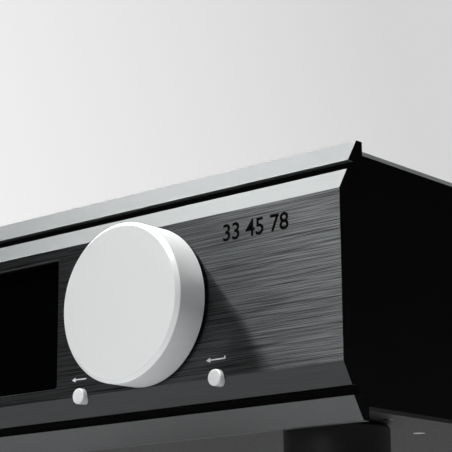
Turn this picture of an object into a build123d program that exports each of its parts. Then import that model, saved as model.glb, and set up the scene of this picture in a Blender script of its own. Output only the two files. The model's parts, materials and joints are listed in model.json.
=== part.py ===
from build123d import *
import math
import os

# Phono preamplifier: a low aluminium case with a thick bevelled front, a window, one large
# knob and two small keys. Millimetres. X runs along the front, Y from front to back and Z up.
# The origin is on the floor, under the middle of the whole depth.

# ---------------------------------------------------------------- case
width = 300.0
body_depth = 285.0  # flat front face to the rear panel's outer face
front_clearance = 13.0  # floor to the underside of the front
side_thickness = 5.0
plate_thickness = 1.5  # top cover and base plate
rear_thickness = 2.5
cover_drop = 3.6  # the cover lies this far below the top of the front
port_size = 10.0  # square screw port that runs along each side panel's corner

# ---------------------------------------------------------------- front panel
flat_height = 62.0
chamfer_height = 7.8
chamfer_depth = 4.7
panel_thickness = 8.8

# ---------------------------------------------------------------- trim bars and the grooves
groove_height = 3.5
bar_setback = 5.5  # flat face back to the bar's leading edge
bar_slope_height = 8.4
bar_slope_depth = 5.3
bar_top_width = 3.4
tongue_thickness = 2.0  # lip of the subframe that stands behind each bar
tongue_reveal = 0.5  # the lip ends this far below the cover's outer face

# ---------------------------------------------------------------- display
window_width = 94.0
window_height = 52.8
window_recess = 1.9  # flat face back to the glass
window_corner = 1.2
window_edge_break = 0.3
window_overlap = 2.0  # glass held behind the panel's edge, all round
glass_thickness = 2.0
gasket_thickness = 0.8
gasket_width = 3.0
module_width = 106.0
module_height = 67.0
module_key_gap = 3.9  # display module to the flange of the key beside it
module_window_margin = 12.0  # rim of the subframe that clamps the display module

# ---------------------------------------------------------------- knob and its encoder
knob_x = 56.0
knob_radius = 31.0
knob_length = 15.0
knob_gap = 1.0
knob_chamfer = 1.5
knob_front_wall = 4.0
knob_rim = 5.0
knob_boss_radius = 8.0
knob_web = 5.0  # panel left in front of the encoder
encoder_size = 14.0
bushing_radius = 4.5
bushing_proud = 3.0  # threaded bushing in front of the panel
shaft_radius = 3.0
shaft_flat = 0.6  # depth of the flat that the grub screw bears on
shaft_in_body = 6.0
encoder_nut_thickness = 2.0
encoder_nut_radius = 7.0
grub_radius = 1.5
grub_angle = 135.0  # direction of the grub screw, anticlockwise from +X seen from the front

# ---------------------------------------------------------------- keys
key_spacing = 71.6  # between the two keys, which stand evenly about the knob
key_radius = 3.1
key_proud = 1.9
key_chamfer = 0.5
key_web = 5.0  # panel that guides the key
key_flange_radius = 4.5
key_flange_thickness = 1.2
key_stem_radius = 1.75
key_travel = 1.0
switch_size = 6.2
switch_height = 3.8
plunger_proud = 1.5

# ---------------------------------------------------------------- boards
board_thickness = 1.6
front_board_spacing = 3.0  # subframe to control board
front_board_margin = 7.0  # control board past the display module
front_board_height = 74.0
switch_gap = 1.7  # switch to the spacer beside it
standoff_height = 10.0
standoff_radius = 3.2
standoff_shank_radius = 2.4  # shank clinched into the base plate
board_edge = 5.0  # board edge to the screw centres
wall_gap = 6.0  # screw ports to the boards and the transformer
main_board_length = 190.0
power_board_width = 96.0
board_gap = 12.0  # between the two boards
power_board_length = 100.0

# ---------------------------------------------------------------- power parts
transformer_radius = 44.0
transformer_height = 42.0
transformer_hole = 15.0
transformer_chamfer = 12.0
transformer_rear_gap = 34.0  # rear panel to the transformer
pad_thickness = 2.0
clamp_radius = 30.0
clamp_thickness = 2.0
bolt_radius = 3.0
bolt_head_radius = 5.5
bolt_head_height = 4.0
capacitor_radius = 11.0
capacitor_height = 38.0
capacitor_pitch = 24.0
sink_width = 84.0
sink_height = 34.0
sink_base = 4.0
sink_depth = 20.0
fin_count = 9
fin_thickness = 1.8
regulator_width = 10.4
regulator_thickness = 4.6
regulator_height = 15.5

# ---------------------------------------------------------------- signal parts
can_width = 70.0
can_length = 78.0
can_height = 24.0
can_wall = 0.8
can_rear_gap = 16.0
relay_width = 10.2
relay_length = 20.0
relay_height = 11.0
relay_pitch = 16.0
film_width = 8.0
film_length = 18.0
film_height = 15.0
film_pitch = 22.0

# ---------------------------------------------------------------- mains inlet and switch
# Places on the rear panel are given as seen from behind, with x to the right.
inlet_side_gap = 46.0  # side of the case to the inlet's centre
inlet_flange_width = 50.0
inlet_flange_height = 26.0
inlet_flange_thickness = 2.5
inlet_flange_corner = 3.0
inlet_body_width = 28.0
inlet_body_height = 20.5
inlet_wall = 1.8
inlet_depth = 17.0  # mouth to the cavity's floor
inlet_floor = 3.0
inlet_corner_cut = 4.0
inlet_screw_spacing = 40.0
blade_width = 4.2
blade_thickness = 2.0
blade_length = 11.0
blade_tail = 7.0
blade_pitch = 7.0
earth_offset = 4.0
rocker_pitch = 38.0  # inlet to switch
rocker_flange_width = 16.0
rocker_flange_height = 22.0
rocker_flange_thickness = 2.0
rocker_body_width = 13.0
rocker_body_height = 19.0
rocker_body_depth = 14.0
rocker_wall = 1.4
rocker_floor = 3.0
rocker_gap = 0.3
rocker_pivot_radius = 1.5
rocker_pivot_depth = 3.0  # flange's outer face to the pivot
rocker_throw = 20.0  # degrees between off and on

# ---------------------------------------------------------------- rear sockets
socket_side_gap = 32.0  # side of the case to the first pair
socket_pitch = 28.0  # pair to pair, and to the ground post between them
socket_spread = 28.0  # between the left and the right socket of a pair
ring_radius = 7.5
ring_thickness = 1.2
socket_flange_radius = 6.2
socket_flange_thickness = 2.0
socket_barrel_radius = 4.15
socket_barrel_length = 8.5
socket_neck_radius = 5.0
socket_tail = 7.0
socket_contact_radius = 1.6
socket_contact_depth = 10.0
socket_nut_radius = 7.5
socket_nut_thickness = 2.2
ground_stud_radius = 2.0
ground_collar_radius = 6.0
ground_collar_thickness = 3.0
ground_wire_gap = 1.6  # room for a wire's fork under the thumb nut
thumb_nut_radius = 5.5
thumb_nut_length = 6.0
thumb_nut_flutes = 14
flute_radius = 0.7
stud_past_nut = 2.0
stud_tail = 6.0

# ---------------------------------------------------------------- feet
foot_radius = 20.0
foot_inset = 34.0  # side of the case to the foot's centre
foot_front_inset = 40.0
foot_rear_inset = 36.0
foot_edge = 1.5
foot_pad_radius = 15.0
foot_pad_thickness = 3.0
foot_pad_proud = 1.0

# ---------------------------------------------------------------- fasteners
small_screw_radius = 1.0
small_head_radius = 1.9
screw_radius = 1.5
screw_head_radius = 2.9
screw_length = 9.0
pan_head_radius = 2.7
pan_head_height = 1.8
foot_screw_radius = 2.0
foot_screw_head_radius = 3.6
foot_screw_head_height = 2.6
screw_edge = 2.0  # panel left round the head of a screw near its edge
front_board_thread = 4.0
trim_screw_count = 5
trim_screw_inset = 18.0
trim_thread_depth = 3.5
cover_screw_rows = 4
cover_screw_inset = 24.0

# ---------------------------------------------------------------- vents
vent_slot_length = 44.0
vent_slot_width = 3.0
vent_pitch = 8.0
vent_count = 9

# ---------------------------------------------------------------- clearances
fit_gap = 0.15  # between pieces that seat in a pocket
screw_gap = 0.25  # round a screw that passes through
thread_gap = 0.05  # round a screw in its thread
running_gap = 0.05  # round a turning shaft
key_gap = 0.25  # round a key or plunger that slides

# ---------------------------------------------------------------- worked-out heights and depths
front_depth = bar_setback + bar_slope_depth + bar_top_width
subframe_thickness = front_depth - panel_thickness
panel_half = flat_height / 2 + chamfer_height
bar_inner = panel_half + groove_height
bar_outer = bar_inner + bar_slope_height
shell_half = bar_outer - cover_drop
plate_half = shell_half - plate_thickness
tongue_height = bar_slope_height - cover_drop - tongue_reveal
middle_z = front_clearance + bar_outer
base_top = middle_z - plate_half

knob_reach = knob_gap + knob_length
socket_reach = ring_thickness + socket_flange_thickness + socket_barrel_length
ground_nut_start = ground_collar_thickness + ground_wire_gap
ground_reach = ground_nut_start + thumb_nut_length + stud_past_nut
rear_reach = max(socket_reach, ground_reach, inlet_flange_thickness)

overall_depth = knob_reach + body_depth + rear_reach
y_face = knob_reach - overall_depth / 2
y_shell = y_face + front_depth
y_rear = y_face + body_depth
y_rear_inner = y_rear - rear_thickness

# Planes that pieces are drawn on. Each has +Z up the page, and looks outwards.
face = Plane(origin=(0, y_face, middle_z), x_dir=(1, 0, 0), z_dir=(0, -1, 0))
panel_back = face.offset(-panel_thickness)
shell_front = face.offset(-front_depth)
shell_back = Plane(origin=(0, y_shell, middle_z), x_dir=(-1, 0, 0), z_dir=(0, 1, 0))
rear = Plane(origin=(0, y_rear, middle_z), x_dir=(-1, 0, 0), z_dir=(0, 1, 0))
rear_inner = rear.offset(-rear_thickness)
cover_outer = Plane.XY.offset(middle_z + shell_half)
base_outer = Plane(origin=(0, 0, middle_z - shell_half), x_dir=(1, 0, 0), z_dir=(0, 0, -1))
base_inner = Plane.XY.offset(base_top)

TOP = (Align.CENTER, Align.CENTER, Align.MAX)
BOTTOM = (Align.CENTER, Align.CENTER, Align.MIN)


def countersunk_screws(plane, points, radius, head_radius, length):
    """Screws whose flat heads lie in the plane and whose shanks run into it."""
    with BuildPart(plane) as screws:
        with Locations(*points):
            Cone(radius, head_radius, head_radius - radius, align=TOP)
            Cylinder(radius, length, align=TOP)
    return screws


def pan_screws(plane, points, radius, head_radius, head_height, length):
    """Screws whose heads stand on the plane and whose shanks run into it."""
    with BuildPart(plane) as screws:
        with Locations(*points):
            Cylinder(head_radius, head_height, align=BOTTOM)
            Cylinder(radius, length, align=TOP)
    return screws


# ---------------------------------------------------------------- where the connectors and screws go
inlet_x = width / 2 - inlet_side_gap
rocker_x = inlet_x - rocker_pitch
first_column = socket_side_gap - width / 2
input_columns = (first_column, first_column + socket_pitch)
ground_x = first_column + 2 * socket_pitch
output_column = first_column + 3 * socket_pitch
key_points = [(knob_x - key_spacing / 2, -flat_height / 2), (knob_x + key_spacing / 2, -flat_height / 2)]
display_x = knob_x - key_spacing / 2 - key_flange_radius - module_key_gap - module_width / 2

panel_screw_columns = (
    -(width / 2 - side_thickness - port_size - board_edge),
    display_x - module_width / 2 - board_edge,
    (display_x + module_width / 2 + knob_x) / 2,
    width / 2 - side_thickness - port_size - board_edge,
)
panel_screw_rows = (-(flat_height / 2 - board_edge), flat_height / 2 - board_edge)
panel_screw_points = [(x, z) for x in panel_screw_columns for z in panel_screw_rows]

port_x = width / 2 - side_thickness - port_size / 2
port_z = panel_half - screw_head_radius - screw_edge
port_height = plate_half - port_z + port_size / 2
port_points = [(x, z) for x in (-port_x, port_x) for z in (-port_z, port_z)]

shell_length = y_rear_inner - y_shell
cover_screw_pitch = (shell_length - 2 * cover_screw_inset) / (cover_screw_rows - 1)
cover_screw_ys = [y_shell + cover_screw_inset + n * cover_screw_pitch for n in range(cover_screw_rows)]
cover_screw_points = [(x, y) for x in (-port_x, port_x) for y in cover_screw_ys]
base_screw_points = [(x, -y) for x, y in cover_screw_points]

trim_start = trim_screw_inset - width / 2
trim_screw_pitch = (width - 2 * trim_screw_inset) / (trim_screw_count - 1)
trim_xs = [trim_start + n * trim_screw_pitch for n in range(trim_screw_count)]
trim_z = bar_inner + tongue_height / 2
trim_screw_points = [(-x, z) for x in trim_xs for z in (-trim_z, trim_z)]

inlet_screw_points = [(inlet_x - inlet_screw_spacing / 2, 0), (inlet_x + inlet_screw_spacing / 2, 0)]

switch_right = knob_x + (key_spacing + switch_size) / 2
front_board_left = display_x - module_width / 2 - front_board_margin
front_board_right = switch_right + switch_gap + standoff_radius + board_edge
front_board_width = front_board_right - front_board_left
front_board_x = (front_board_left + front_board_right) / 2
front_board_dx = front_board_width / 2 - board_edge
front_board_dz = front_board_height / 2 - board_edge
front_board_points = [
    (front_board_x + sx * front_board_dx, sz * front_board_dz) for sx in (-1, 0, 1) for sz in (-1, 1)
]

# ================================================================ front
with BuildPart() as front_panel:
    with BuildSketch(Plane.YZ.offset(-width / 2)) as panel_section:
        with BuildLine():
            Polyline(
                (y_face, middle_z - flat_height / 2),
                (y_face, middle_z + flat_height / 2),
                (y_face + chamfer_depth, middle_z + panel_half),
                (y_face + panel_thickness, middle_z + panel_half),
                (y_face + panel_thickness, middle_z - panel_half),
                (y_face + chamfer_depth, middle_z - panel_half),
                close=True,
            )
        make_face()
    extrude(amount=width)
    # Window: a broken edge, the opening, the seat of the glass and the pocket of the module.
    with BuildSketch(face):
        with Locations((display_x, 0)):
            RectangleRounded(
                window_width + 2 * window_edge_break,
                window_height + 2 * window_edge_break,
                window_corner + window_edge_break,
            )
    extrude(amount=-window_edge_break, taper=45, mode=Mode.SUBTRACT)
    with BuildSketch(face):
        with Locations((display_x, 0)):
            RectangleRounded(window_width, window_height, window_corner)
    extrude(amount=-panel_thickness, mode=Mode.SUBTRACT)
    with BuildSketch(face.offset(-window_recess)):
        with Locations((display_x, 0)):
            Rectangle(
                window_width + 2 * window_overlap + 2 * fit_gap,
                window_height + 2 * window_overlap + 2 * fit_gap,
            )
    extrude(amount=-(panel_thickness - window_recess), mode=Mode.SUBTRACT)
    with BuildSketch(face.offset(-window_recess - glass_thickness)):
        with Locations((display_x, 0)):
            Rectangle(module_width + 2 * fit_gap, module_height + 2 * fit_gap)
    extrude(amount=-(panel_thickness - window_recess - glass_thickness), mode=Mode.SUBTRACT)
    # Encoder: bushing hole, and a pocket behind it.
    with BuildSketch(face):
        with Locations((knob_x, 0)):
            Circle(bushing_radius + fit_gap)
    extrude(amount=-panel_thickness, mode=Mode.SUBTRACT)
    with BuildSketch(face.offset(-knob_web)):
        with Locations((knob_x, 0)):
            Rectangle(encoder_size + 2 * key_gap, encoder_size + 2 * key_gap)
    extrude(amount=-(panel_thickness - knob_web), mode=Mode.SUBTRACT)
    # Keys: guide holes on the lower crease, wider behind for the flanges.
    with BuildSketch(face):
        with Locations(*key_points):
            Circle(key_radius + key_gap)
    extrude(amount=-panel_thickness, mode=Mode.SUBTRACT)
    with BuildSketch(face.offset(-key_web)):
        with Locations(*key_points):
            Circle(key_flange_radius + key_gap)
    extrude(amount=-(panel_thickness - key_web), mode=Mode.SUBTRACT)
    # Blind threads for the screws from the subframe.
    with BuildSketch(panel_back):
        with Locations(*panel_screw_points):
            Circle(screw_radius + thread_gap)
    extrude(amount=screw_length - subframe_thickness + screw_gap, mode=Mode.SUBTRACT)

with BuildPart() as front_subframe:
    with BuildSketch(Plane.YZ.offset(-width / 2)) as subframe_section:
        with BuildLine():
            Polyline(
                (y_face + panel_thickness, middle_z - bar_inner),
                (y_face + panel_thickness, middle_z + bar_inner),
                (y_shell - tongue_thickness, middle_z + bar_inner),
                (y_shell - tongue_thickness, middle_z + bar_inner + tongue_height),
                (y_shell, middle_z + bar_inner + tongue_height),
                (y_shell, middle_z - bar_inner - tongue_height),
                (y_shell - tongue_thickness, middle_z - bar_inner - tongue_height),
                (y_shell - tongue_thickness, middle_z - bar_inner),
                close=True,
            )
        make_face()
    extrude(amount=width)
    with BuildSketch(panel_back):
        with Locations((display_x, 0)):
            RectangleRounded(
                module_width - 2 * module_window_margin,
                module_height - 2 * module_window_margin,
                board_edge,
            )
        with Locations((knob_x, 0)):
            Rectangle(encoder_size + 2 * key_gap, encoder_size + 2 * key_gap)
        with Locations(*key_points):
            Circle(key_flange_radius + 2 * key_gap)
        with Locations(*panel_screw_points):
            Circle(screw_radius + screw_gap)
    extrude(amount=-subframe_thickness, mode=Mode.SUBTRACT)
    with BuildSketch(shell_front):
        with Locations(*front_board_points):
            Circle(screw_radius + thread_gap)
    extrude(amount=front_board_thread, mode=Mode.SUBTRACT)
    with Locations(panel_back):
        with Locations(*port_points):
            CounterSinkHole(
                screw_radius + screw_gap,
                screw_head_radius + fit_gap,
                subframe_thickness,
                counter_sink_angle=90,
            )
    with Locations(shell_back):
        with Locations(*trim_screw_points):
            CounterSinkHole(
                small_screw_radius + fit_gap,
                small_head_radius + thread_gap,
                tongue_thickness,
                counter_sink_angle=90,
            )


def trim_bar(side):
    """Bevelled bar along the top (side 1) or the bottom (side -1) of the front."""
    with BuildPart() as bar:
        with BuildSketch(Plane.YZ.offset(-width / 2)):
            with BuildLine():
                Polyline(
                    (y_face + bar_setback, middle_z + side * bar_inner),
                    (y_face + bar_setback + bar_slope_depth, middle_z + side * bar_outer),
                    (y_shell, middle_z + side * bar_outer),
                    (y_shell, middle_z + side * (bar_inner + tongue_height)),
                    (y_shell - tongue_thickness, middle_z + side * (bar_inner + tongue_height)),
                    (y_shell - tongue_thickness, middle_z + side * bar_inner),
                    close=True,
                )
            make_face()
        extrude(amount=width)
        with BuildSketch(face.offset(tongue_thickness - front_depth)):
            with Locations(*[(x, side * trim_z) for x in trim_xs]):
                Circle(small_screw_radius + thread_gap)
        extrude(amount=trim_thread_depth, mode=Mode.SUBTRACT)
    return bar


top_trim_bar = trim_bar(1)
bottom_trim_bar = trim_bar(-1)
trim_screws = countersunk_screws(
    shell_back,
    trim_screw_points,
    small_screw_radius,
    small_head_radius,
    tongue_thickness + trim_thread_depth - screw_gap,
)
frame_screws = countersunk_screws(
    panel_back, port_points, screw_radius, screw_head_radius, screw_length + subframe_thickness
)
panel_screws = pan_screws(
    shell_back,
    [(-x, z) for x, z in panel_screw_points],
    screw_radius,
    pan_head_radius,
    pan_head_height,
    screw_length,
)

# ================================================================ display
with BuildPart() as display_window:
    with BuildSketch(face.offset(-window_recess)):
        with Locations((display_x, 0)):
            Rectangle(window_width + 2 * window_overlap, window_height + 2 * window_overlap)
    extrude(amount=-glass_thickness)

gasket_front = window_recess + glass_thickness
with BuildPart() as display_gasket:
    with BuildSketch(face.offset(-gasket_front)):
        with Locations((display_x, 0)):
            Rectangle(window_width + 2 * window_overlap, window_height + 2 * window_overlap)
            Rectangle(
                window_width + 2 * window_overlap - 2 * gasket_width,
                window_height + 2 * window_overlap - 2 * gasket_width,
                mode=Mode.SUBTRACT,
            )
    extrude(amount=-gasket_thickness)

module_front = gasket_front + gasket_thickness
with BuildPart() as display_module:
    with BuildSketch(face.offset(-module_front)):
        with Locations((display_x, 0)):
            Rectangle(module_width, module_height)
    extrude(amount=-(panel_thickness - module_front))

# ================================================================ knob and encoder
boss_gap = bushing_proud + key_gap
shaft_end = knob_reach - knob_front_wall
board_front = front_depth + front_board_spacing
grub_direction = Vector(math.cos(math.radians(grub_angle)), 0, math.sin(math.radians(grub_angle)))
grub_y = y_face - (boss_gap + shaft_end) / 2
grub_plane = Plane(origin=Vector(knob_x, grub_y, middle_z), z_dir=grub_direction)

with BuildPart() as main_knob:
    with BuildSketch(face.offset(knob_gap)):
        with Locations((knob_x, 0)):
            Circle(knob_radius)
    extrude(amount=knob_length)
    chamfer(main_knob.faces().sort_by(Axis.Y)[0].edges(), knob_chamfer)
    # Hollow behind: a shallow recess for the nut, then a ring-shaped one round the boss.
    with BuildSketch(face.offset(knob_gap)):
        with Locations((knob_x, 0)):
            Circle(knob_radius - knob_rim)
    extrude(amount=boss_gap - knob_gap, mode=Mode.SUBTRACT)
    with BuildSketch(face.offset(boss_gap)):
        with Locations((knob_x, 0)):
            Circle(knob_radius - knob_rim)
            Circle(knob_boss_radius, mode=Mode.SUBTRACT)
    extrude(amount=shaft_end - boss_gap, mode=Mode.SUBTRACT)
    with BuildSketch(face.offset(boss_gap)):
        with Locations((knob_x, 0)):
            Circle(shaft_radius)
    extrude(amount=shaft_end - boss_gap, mode=Mode.SUBTRACT)
    with Locations(grub_plane):
        Cylinder(grub_radius + thread_gap, knob_radius + knob_rim, align=BOTTOM, mode=Mode.SUBTRACT)

with BuildPart() as knob_grub_screw:
    with Locations(grub_plane.offset(shaft_radius - shaft_flat)):
        Cylinder(grub_radius, knob_boss_radius - shaft_radius + shaft_flat, align=BOTTOM)

with BuildPart() as encoder_shaft:
    with BuildSketch(face.offset(-knob_web - shaft_in_body)):
        with Locations((knob_x, 0)):
            Circle(shaft_radius)
    extrude(amount=knob_web + shaft_in_body + shaft_end)
    with Locations(grub_plane.offset(shaft_radius - shaft_flat)):
        Box(2 * shaft_radius, shaft_end - boss_gap, 2 * shaft_radius, align=BOTTOM, mode=Mode.SUBTRACT)

with BuildPart() as encoder_body:
    with BuildSketch(face.offset(-knob_web)):
        with Locations((knob_x, 0)):
            Rectangle(encoder_size, encoder_size)
    extrude(amount=-(board_front - knob_web))
    with BuildSketch(face.offset(-knob_web)):
        with Locations((knob_x, 0)):
            Circle(bushing_radius)
    extrude(amount=knob_web + bushing_proud)
    with BuildSketch(face.offset(bushing_proud)):
        with Locations((knob_x, 0)):
            Circle(shaft_radius + running_gap)
    extrude(amount=-(bushing_proud + knob_web + shaft_in_body + key_gap), mode=Mode.SUBTRACT)

with BuildPart() as encoder_nut:
    with BuildSketch(face):
        with Locations((knob_x, 0)):
            RegularPolygon(encoder_nut_radius, 6)
            Circle(bushing_radius + thread_gap, mode=Mode.SUBTRACT)
    extrude(amount=encoder_nut_thickness)

# ================================================================ keys
flange_front = key_web + thread_gap
switch_front = board_front - switch_height
stem_end = switch_front - plunger_proud


def key(point):
    """Round key: a cap through the panel, a flange that keeps it in, and a stem."""
    with BuildPart() as cap:
        with BuildSketch(face.offset(key_proud)):
            with Locations(point):
                Circle(key_radius)
        extrude(amount=-(key_proud + flange_front))
        chamfer(cap.faces().sort_by(Axis.Y)[0].edges(), key_chamfer)
        with BuildSketch(face.offset(-flange_front)):
            with Locations(point):
                Circle(key_flange_radius)
        extrude(amount=-key_flange_thickness)
        with BuildSketch(face.offset(-flange_front)):
            with Locations(point):
                Circle(key_stem_radius)
        extrude(amount=-(stem_end - flange_front))
    return cap


def plunger(point):
    """Plunger that the key's stem pushes into its switch."""
    with BuildPart() as pin:
        with BuildSketch(face.offset(-stem_end)):
            with Locations(point):
                Circle(key_stem_radius)
        extrude(amount=-(board_front - key_travel - key_gap - stem_end))
    return pin


back_button = key(key_points[0])
enter_button = key(key_points[1])
back_plunger = plunger(key_points[0])
enter_plunger = plunger(key_points[1])

with BuildPart() as button_switches:
    with BuildSketch(face.offset(-switch_front)):
        with Locations(*key_points):
            Rectangle(switch_size, switch_size)
            Circle(key_stem_radius + key_gap, mode=Mode.SUBTRACT)
    extrude(amount=-switch_height)

# ================================================================ control board
board_screw_length = board_thickness + front_board_spacing + front_board_thread - screw_gap

with BuildPart() as control_board:
    with BuildSketch(face.offset(-board_front)):
        with Locations((front_board_x, 0)):
            Rectangle(front_board_width, front_board_height)
        with Locations(*front_board_points):
            Circle(screw_radius + screw_gap, mode=Mode.SUBTRACT)
    extrude(amount=-board_thickness)

with BuildPart() as control_board_spacers:
    with BuildSketch(shell_front):
        with Locations(*front_board_points):
            Circle(standoff_radius)
            Circle(screw_radius + screw_gap, mode=Mode.SUBTRACT)
    extrude(amount=-front_board_spacing)

# ================================================================ places inside the shell
inner_x = width / 2 - side_thickness - port_size - wall_gap
main_board_width = 2 * inner_x - power_board_width - board_gap
main_board_x = inner_x - main_board_width / 2
main_board_y = y_rear_inner - socket_tail - socket_nut_thickness - main_board_length / 2 - wall_gap
power_board_x = power_board_width / 2 - inner_x
power_board_front = y_shell + front_board_spacing + board_thickness + wall_gap + 2 * board_edge
power_board_y = power_board_front + power_board_length / 2
transformer_x = transformer_radius - inner_x
transformer_y = y_rear_inner - transformer_rear_gap - transformer_radius
board_z = base_top + standoff_height
board_top_z = board_z + board_thickness
foot_xs = (-(width / 2 - foot_inset), width / 2 - foot_inset)
foot_ys = (y_face + foot_front_inset, y_rear - foot_rear_inset)
foot_points = [(x, y) for x in foot_xs for y in foot_ys]


def board_corners(x, y, board_width, board_length):
    """Screw centres near the four corners of a board."""
    half_x = board_width / 2 - board_edge
    half_y = board_length / 2 - board_edge
    return [(x + sx * half_x, y + sy * half_y) for sx in (-1, 1) for sy in (-1, 1)]


main_board_points = board_corners(main_board_x, main_board_y, main_board_width, main_board_length)
power_board_points = board_corners(power_board_x, power_board_y, power_board_width, power_board_length)
standoff_points = main_board_points + power_board_points

# ================================================================ shell


def side_panel(side):
    """Extruded side (side 1 is the right one), with a screw port along both inner corners."""
    with BuildPart() as panel:
        with BuildSketch(shell_front):
            with Locations((side * (width - side_thickness) / 2, 0)):
                Rectangle(side_thickness, 2 * plate_half)
            with Locations(*[(side * port_x, end * (plate_half - port_height / 2)) for end in (-1, 1)]):
                Rectangle(port_size, port_height)
            with Locations((side * port_x, -port_z), (side * port_x, port_z)):
                Circle(screw_radius + thread_gap, mode=Mode.SUBTRACT)
        extrude(amount=-shell_length)
        with Locations(Plane.XY.offset(middle_z + plate_half)):
            with Locations(*[(side * port_x, y) for y in cover_screw_ys]):
                Hole(screw_radius + thread_gap, screw_length)
        with Locations(Plane(origin=(0, 0, base_top), x_dir=(1, 0, 0), z_dir=(0, 0, -1))):
            with Locations(*[(side * port_x, -y) for y in cover_screw_ys]):
                Hole(screw_radius + thread_gap, screw_length)
    return panel


left_side_panel = side_panel(-1)
right_side_panel = side_panel(1)

with BuildPart() as top_cover:
    with BuildSketch(cover_outer):
        with Locations((0, (y_shell + y_rear) / 2)):
            Rectangle(width, y_rear - y_shell)
        with Locations((transformer_x, transformer_y), (main_board_x, transformer_y)):
            with GridLocations(vent_pitch, 0, vent_count, 1):
                SlotOverall(vent_slot_length, vent_slot_width, rotation=90, mode=Mode.SUBTRACT)
    extrude(amount=-plate_thickness)
    with Locations(cover_outer):
        with Locations(*cover_screw_points):
            CounterSinkHole(
                screw_radius + fit_gap, screw_head_radius + thread_gap, plate_thickness, counter_sink_angle=90
            )

with BuildPart() as base_plate:
    with BuildSketch(base_inner):
        with Locations((0, (y_shell + y_rear) / 2)):
            Rectangle(width, y_rear - y_shell)
        with Locations((main_board_x, main_board_y)):
            with GridLocations(vent_pitch, 0, vent_count, 1):
                SlotOverall(vent_slot_length, vent_slot_width, rotation=90, mode=Mode.SUBTRACT)
        with Locations(*standoff_points):
            Circle(standoff_shank_radius + thread_gap, mode=Mode.SUBTRACT)
        with Locations(*foot_points):
            Circle(foot_screw_radius + thread_gap, mode=Mode.SUBTRACT)
        with Locations((transformer_x, transformer_y)):
            Circle(bolt_radius + thread_gap, mode=Mode.SUBTRACT)
    extrude(amount=-plate_thickness)
    with Locations(base_outer):
        with Locations(*base_screw_points):
            CounterSinkHole(
                screw_radius + fit_gap, screw_head_radius + thread_gap, plate_thickness, counter_sink_angle=90
            )

input_points = [(x, z) for x in input_columns for z in (-socket_spread / 2, socket_spread / 2)]
output_points = [(output_column, -socket_spread / 2), (output_column, socket_spread / 2)]
socket_points = input_points + output_points

with BuildPart() as rear_panel:
    with BuildSketch(rear):
        Rectangle(width, 2 * plate_half)
        with Locations((inlet_x, 0)):
            Rectangle(inlet_body_width + 2 * fit_gap, inlet_body_height + 2 * fit_gap, mode=Mode.SUBTRACT)
        with Locations((rocker_x, 0)):
            Rectangle(rocker_body_width + 2 * fit_gap, rocker_body_height + 2 * fit_gap, mode=Mode.SUBTRACT)
        with Locations(*socket_points):
            Circle(socket_neck_radius + fit_gap, mode=Mode.SUBTRACT)
        with Locations((ground_x, 0)):
            Circle(ground_stud_radius + fit_gap, mode=Mode.SUBTRACT)
        with Locations(*inlet_screw_points):
            Circle(screw_radius + thread_gap, mode=Mode.SUBTRACT)
    extrude(amount=-rear_thickness)
    with Locations(rear):
        with Locations(*port_points):
            CounterSinkHole(
                screw_radius + screw_gap, screw_head_radius + fit_gap, rear_thickness, counter_sink_angle=90
            )

shell_screw = (screw_radius, screw_head_radius, screw_length)
cover_screws = countersunk_screws(cover_outer, cover_screw_points, *shell_screw)
base_screws = countersunk_screws(base_outer, base_screw_points, *shell_screw)
rear_screws = countersunk_screws(rear, port_points, *shell_screw)

# ================================================================ main and power boards
with BuildPart() as main_board:
    with BuildSketch(Plane.XY.offset(board_z)):
        with Locations((main_board_x, main_board_y)):
            Rectangle(main_board_width, main_board_length)
        with Locations(*main_board_points):
            Circle(screw_radius + screw_gap, mode=Mode.SUBTRACT)
    extrude(amount=board_thickness)

with BuildPart() as power_board:
    with BuildSketch(Plane.XY.offset(board_z)):
        with Locations((power_board_x, power_board_y)):
            Rectangle(power_board_width, power_board_length)
        with Locations(*power_board_points):
            Circle(screw_radius + screw_gap, mode=Mode.SUBTRACT)
    extrude(amount=board_thickness)

with BuildPart() as board_standoffs:
    with BuildSketch(base_inner):
        with Locations(*standoff_points):
            RegularPolygon(standoff_radius, 6)
            Circle(screw_radius + thread_gap, mode=Mode.SUBTRACT)
    extrude(amount=standoff_height)
    with BuildSketch(base_inner):
        with Locations(*standoff_points):
            Circle(standoff_shank_radius)
    extrude(amount=-plate_thickness)

board_screws = pan_screws(
    Plane.XY.offset(board_top_z),
    standoff_points,
    screw_radius,
    pan_head_radius,
    pan_head_height,
    board_thickness + standoff_height / 2,
)
control_board_screws = pan_screws(
    shell_back.offset(front_board_spacing + board_thickness),
    [(-x, z) for x, z in front_board_points],
    screw_radius,
    pan_head_radius,
    pan_head_height,
    board_screw_length,
)

# ================================================================ power supply
capacitor_row_y = power_board_y - power_board_length / 2 + board_edge + wall_gap + 2 * capacitor_radius
with BuildPart() as filter_capacitors:
    with BuildSketch(Plane.XY.offset(board_top_z)):
        with Locations((power_board_x, capacitor_row_y)):
            with GridLocations(capacitor_pitch, 0, 3, 1):
                Circle(capacitor_radius)
    extrude(amount=capacitor_height)

sink_y = power_board_y + power_board_length / 2 - board_edge - wall_gap - sink_depth
fin_pitch = (sink_width - fin_thickness) / (fin_count - 1)
with BuildPart() as heat_sink:
    with BuildSketch(Plane.XY.offset(board_top_z)):
        with Locations((power_board_x, sink_y + sink_base / 2)):
            Rectangle(sink_width, sink_base)
        with Locations((power_board_x, sink_y + sink_depth / 2)):
            with GridLocations(fin_pitch, 0, fin_count, 1):
                Rectangle(fin_thickness, sink_depth)
    extrude(amount=sink_height)

with BuildPart() as regulators:
    with BuildSketch(Plane.XY.offset(board_top_z + board_edge)):
        with Locations((power_board_x, sink_y - regulator_thickness / 2)):
            with GridLocations(2 * capacitor_pitch, 0, 2, 1):
                Rectangle(regulator_width, regulator_thickness)
    extrude(amount=regulator_height)

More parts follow.
